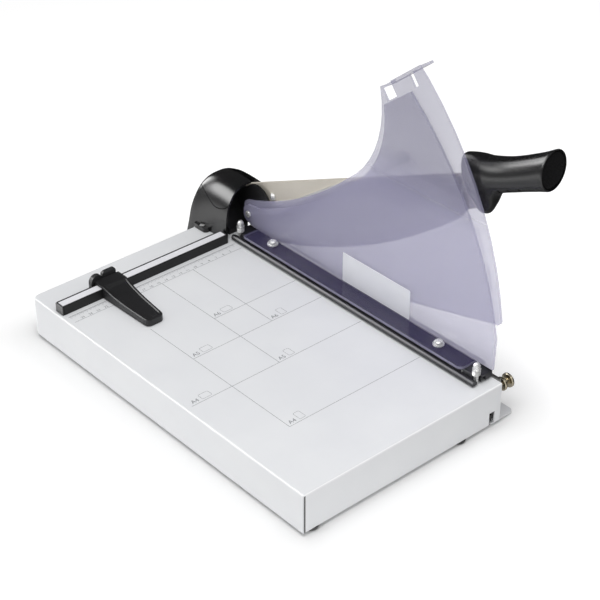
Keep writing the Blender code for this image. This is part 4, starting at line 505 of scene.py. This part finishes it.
# Shares of the last section and how far each goes beyond it: a rounded rim around a sunk cap.
GRIP_CAP = ((0.985, 0.8), (0.955, 1.3), (0.925, 1.1), (0.905, -0.9), (0.875, -0.7), (0.85, 0.4),
            (0.65, 1.1), (0.35, 1.6))
GRIP_X = 14.8
END_LEAN, COLLAR_LEAN = math.tan(math.radians(24)), math.tan(math.radians(3))
GROOVES = (427.5, 441.0, 455.5)
GROOVE_SECTION = ((-2.6, -6.0), (1.2, -6.0), (6.6, 4.6), (4.6, 5.2))
PIVOT_Y, PIVOT_Z, ARM_ANGLE = 40, 20, math.radians(24.5)


def on_arm(x, along, above):
    """Point in the arm's own frame: along the arm and above its hub."""
    c, s = math.cos(ARM_ANGLE), math.sin(ARM_ANGLE)
    return cut(x, PIVOT_Y - along * c + above * s, PIVOT_Z + along * s + above * c)


def grip_ring(row, scale=1.0, beyond=0.0):
    along, middle, high, wide, narrower = row
    share = (along - GRIP_ROWS[0][0]) / (GRIP_ROWS[-1][0] - GRIP_ROWS[0][0])
    lean = END_LEAN * max(0.0, share * 2 - 1) - COLLAR_LEAN * max(0.0, 1 - share * 4)
    ring = []
    for k in range(56):
        turn = 2 * math.pi * k / 56
        up = high * math.sin(turn) * scale
        side = wide * math.cos(turn) * (1 - narrower * (0.5 - 0.5 * math.sin(turn))) * scale
        ring.append(on_arm(GRIP_X + side, along + beyond + up * lean, middle + up))
    return ring


def moulded_grip():
    """Grip with a swelling collar, finger grooves below and a capped, slanted end."""
    rows = smooth_stations(GRIP_ROWS, 6)
    rings = [grip_ring(rows[0], 0.86), grip_ring(rows[0], 0.94, 0.4), grip_ring(rows[0], 1.0, 1.2)]
    rings += [grip_ring(row) for row in rows[1:]]
    rings += [grip_ring(rows[-1], scale, beyond) for scale, beyond in GRIP_CAP]
    steps = [("DIFFERENCE", skin([[on_arm(x, groove + along, above) for along, above in GROOVE_SECTION]
                                  for x in (-20.0, 40.0)])) for groove in GROOVES]
    made = carved("handle_grip_moulding", skin(rings), steps, GRIP, "blade", 40)
    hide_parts("handle_grip")


# Thin trim
def guard_lip():
    """The rear plate stands on the clamp: its foot closes the gap below the plate."""
    foot = [(-358, 9.9), (-45, 9.9), (-45, 12.4), (-358, 12.4)]
    add("guard_foot_lip", prism(foot, "X", -5.9, -3.4), GUARD, "clamp")


def corner_gap():
    """Dark joint where the folded sides of the table meet at the front left, in m."""
    tray = frame["nodes"]["base_tray"]
    spots = [tray.matrix_world @ v.co for v in tray.data.vertices]
    left = min(v.x for v in spots) + 0.0008
    front = min(v.y for v in spots) - 0.0001
    top, foot, wide = TABLE_TOP - 0.0015, TABLE_TOP - 0.0448, 0.0018
    bm = bmesh.new()
    bm.faces.new([bm.verts.new((x, front, z)) for x, z in ((left, top), (left + wide, top),
                                                           (left + wide, foot), (left, foot))])
    add("corner_joint", bm, DARK_JOINT_AND_SHADOW, "base")


def strip_line():
    """Painted shadow: a dark line on the fence, along its white strip."""
    bm = bmesh.new()
    line(bm, -263.2, 15.0, -41.5, 15.0, 0.8, 11.02)
    add("strip_line", bm, DARK_JOINT_AND_SHADOW, "base")


def guard_plate():
    """Bare white plate where the photograph has a label."""
    face = -9.75
    outline = rounded_outline(-255.0, -153.0, 12.9, 48.5, (1.5,) * 4, 4)
    add("guard_plate_white", prism(outline, "X", face, face + 0.18), LABEL, "clamp")


print_grid()
print_ruler()
moulded_hood()
moulded_grip()
guard_lip()
corner_gap()
strip_line()
guard_plate()

# Camera, world, floor and lamps
WHITE = 1.0
ROOM_STRENGTH = 0.54
FLOOR_ALBEDO = (0.90, 0.90, 0.90)
TABLE_HALF_X, TABLE_HALF_Y = 0.130, 0.219
# What shiny faces see: soft panels, each with the direction that it lies in, the angles at
# which it ends and at which it is full, and its strength. The last is a faint glow overhead.
PANELS = (
    ((-0.66, 0.63, 0.40), 23, 8, 11.5), ((-0.08, 0.98, 0.16), 17, 5, 10.0),
    ((-0.9, -0.3, 0.35), 28, 12, 1.2), ((0.1, -0.9, 0.5), 30, 10, 0.7), ((0, 0, 1), 180, 0, 0.06),
)


def panel_glow(t, sky, toward, outer, inner, strength):
    """Soft round panel that lies in one direction and fades to its rim."""
    face = node(t, "VectorMath", operation="DOT_PRODUCT")
    face.inputs[1].default_value = Vector(toward).normalized()
    link(t, sky, face.inputs[0])
    glow = spread(t, face.outputs["Value"], 0.0, strength, math.cos(math.radians(outer)),
                  math.cos(math.radians(inner)))
    glow.node.interpolation_type = "SMOOTHSTEP"
    return glow


def choose(t, ray, otherwise, value):
    """One value for the rays that a switch names and another for the rest."""
    n = node(t, "MapRange")
    for socket, given in ((n.inputs["To Min"], otherwise), (n.inputs["To Max"], value)):
        if isinstance(given, float):
            socket.default_value = given
        else:
            link(t, given, socket)
    link(t, ray, n.inputs["Value"])
    return n.outputs["Result"]


def camera():
    data = bpy.data.cameras.new("camera")
    data.lens = 101.11
    data.sensor_width = 36
    data.clip_start = 0.05
    o = bpy.data.objects.new("camera", data)
    bpy.context.scene.collection.objects.link(o)
    o.location = (-0.79667, -0.89265, 1.03875)
    o.rotation_euler = Vector((0.55119, 0.62784, -0.54955)).to_track_quat("-Z", "Y").to_euler()
    bpy.context.scene.camera = o


def world():
    """White to the camera and through the guard, soft light on all sides, panels in the gloss."""
    w = bpy.data.worlds.new("world")
    bpy.context.scene.world = w
    w.use_nodes = True
    t = w.node_tree
    rays = node(t, "LightPath").outputs
    sky = node(t, "TexCoord").outputs["Generated"]
    glow = panel_glow(t, sky, *PANELS[0])
    for panel in PANELS[1:]:
        glow = calculate(t, "ADD", glow, panel_glow(t, sky, *panel))
    lit = choose(t, rays["Is Glossy Ray"], ROOM_STRENGTH, glow)
    seen = calculate(t, "MAXIMUM", rays["Is Camera Ray"], rays["Is Transmission Ray"])
    background = t.nodes["Background"]
    background.inputs["Color"].default_value = (1, 1, 1, 1)
    link(t, choose(t, seen, lit, WHITE), background.inputs["Strength"])


def beyond_table(t, position):
    """Distance on the floor from the table's outline."""
    steps = (("SUBTRACT", (TABLE_MIDDLE.x, TABLE_MIDDLE.y, 0)), ("ABSOLUTE", None),
             ("SUBTRACT", (TABLE_HALF_X, TABLE_HALF_Y, 0)), ("MAXIMUM", (0, 0, 0)), ("LENGTH", None))
    here = position
    for operation, value in steps:
        n = node(t, "VectorMath", operation=operation)
        link(t, here, n.inputs[0])
        if value is not None:
            n.inputs[1].default_value = value
        here = n.outputs["Value" if operation == "LENGTH" else "Vector"]
    return here


def floor_look():
    """Pale floor that keeps the shadow beside the table and glows for the camera further out, so it is
    white there.

    Painted reflection: shiny faces see it bright beside the table on the left and dark to the right,
    from a colour and a glow that only glossy rays get.
    """
    m, t, p = tree("floor_white")
    p.inputs["Roughness"].default_value = 0.9
    p.inputs["Specular IOR Level"].default_value = 0.0
    p.inputs["Emission Color"].default_value = (1, 1, 1, 1)
    rays = node(t, "LightPath").outputs
    position = node(t, "NewGeometry").outputs["Position"]
    across = axes(t, position)["X"]
    distance = beyond_table(t, position)
    in_gloss = spread(t, across, 0.60, 0.06, -0.3, 0.5)
    link(t, mix_colour(t, rays["Is Glossy Ray"], FLOOR_ALBEDO, in_gloss), p.inputs["Base Color"])
    camera_glow = calculate(t, "MULTIPLY", rays["Is Camera Ray"],
                       spread(t, distance, 0.0, 0.34, 0.004, 0.10))
    glossy_glow = calculate(t, "MULTIPLY", spread(t, across, 2.2, 0.0, -0.05, 0.32),
                     spread(t, distance, 1, 0, 0.10, 0.45))
    glow = calculate(t, "MULTIPLY_ADD", rays["Is Glossy Ray"], glossy_glow, camera_glow)
    link(t, glow, p.inputs["Emission Strength"])
    return m


def floor():
    bm = bmesh.new()
    bmesh.ops.create_grid(bm, x_segments=1, y_segments=1, size=6)
    o = place("floor", bm)
    o.location = (TABLE_MIDDLE.x, TABLE_MIDDLE.y, 0)
    o.data.materials.append(floor_look())


def lamp(name, where, at, size, power):
    """Area lamp, placed and aimed from the table's middle."""
    light = bpy.data.lights.new(name, "AREA")
    light.shape = "RECTANGLE"
    light.size, light.size_y = size
    light.energy = power
    o = bpy.data.objects.new(name, light)
    bpy.context.scene.collection.objects.link(o)
    o.location = TABLE_MIDDLE + Vector(where)
    o.rotation_euler = (Vector(at) - Vector(where)).to_track_quat("-Z", "Y").to_euler()


bpy.context.scene.view_settings.view_transform = "Standard"
camera()
world()
floor()
lamp("key", (-0.30, -0.20, 1.35), (0, -0.05, 0), (0.9, 0.9), 10.5)
lamp("fill", (1.25, -0.55, 0.75), (0.1, 0, 0.1), (0.7, 0.9), 2.0)
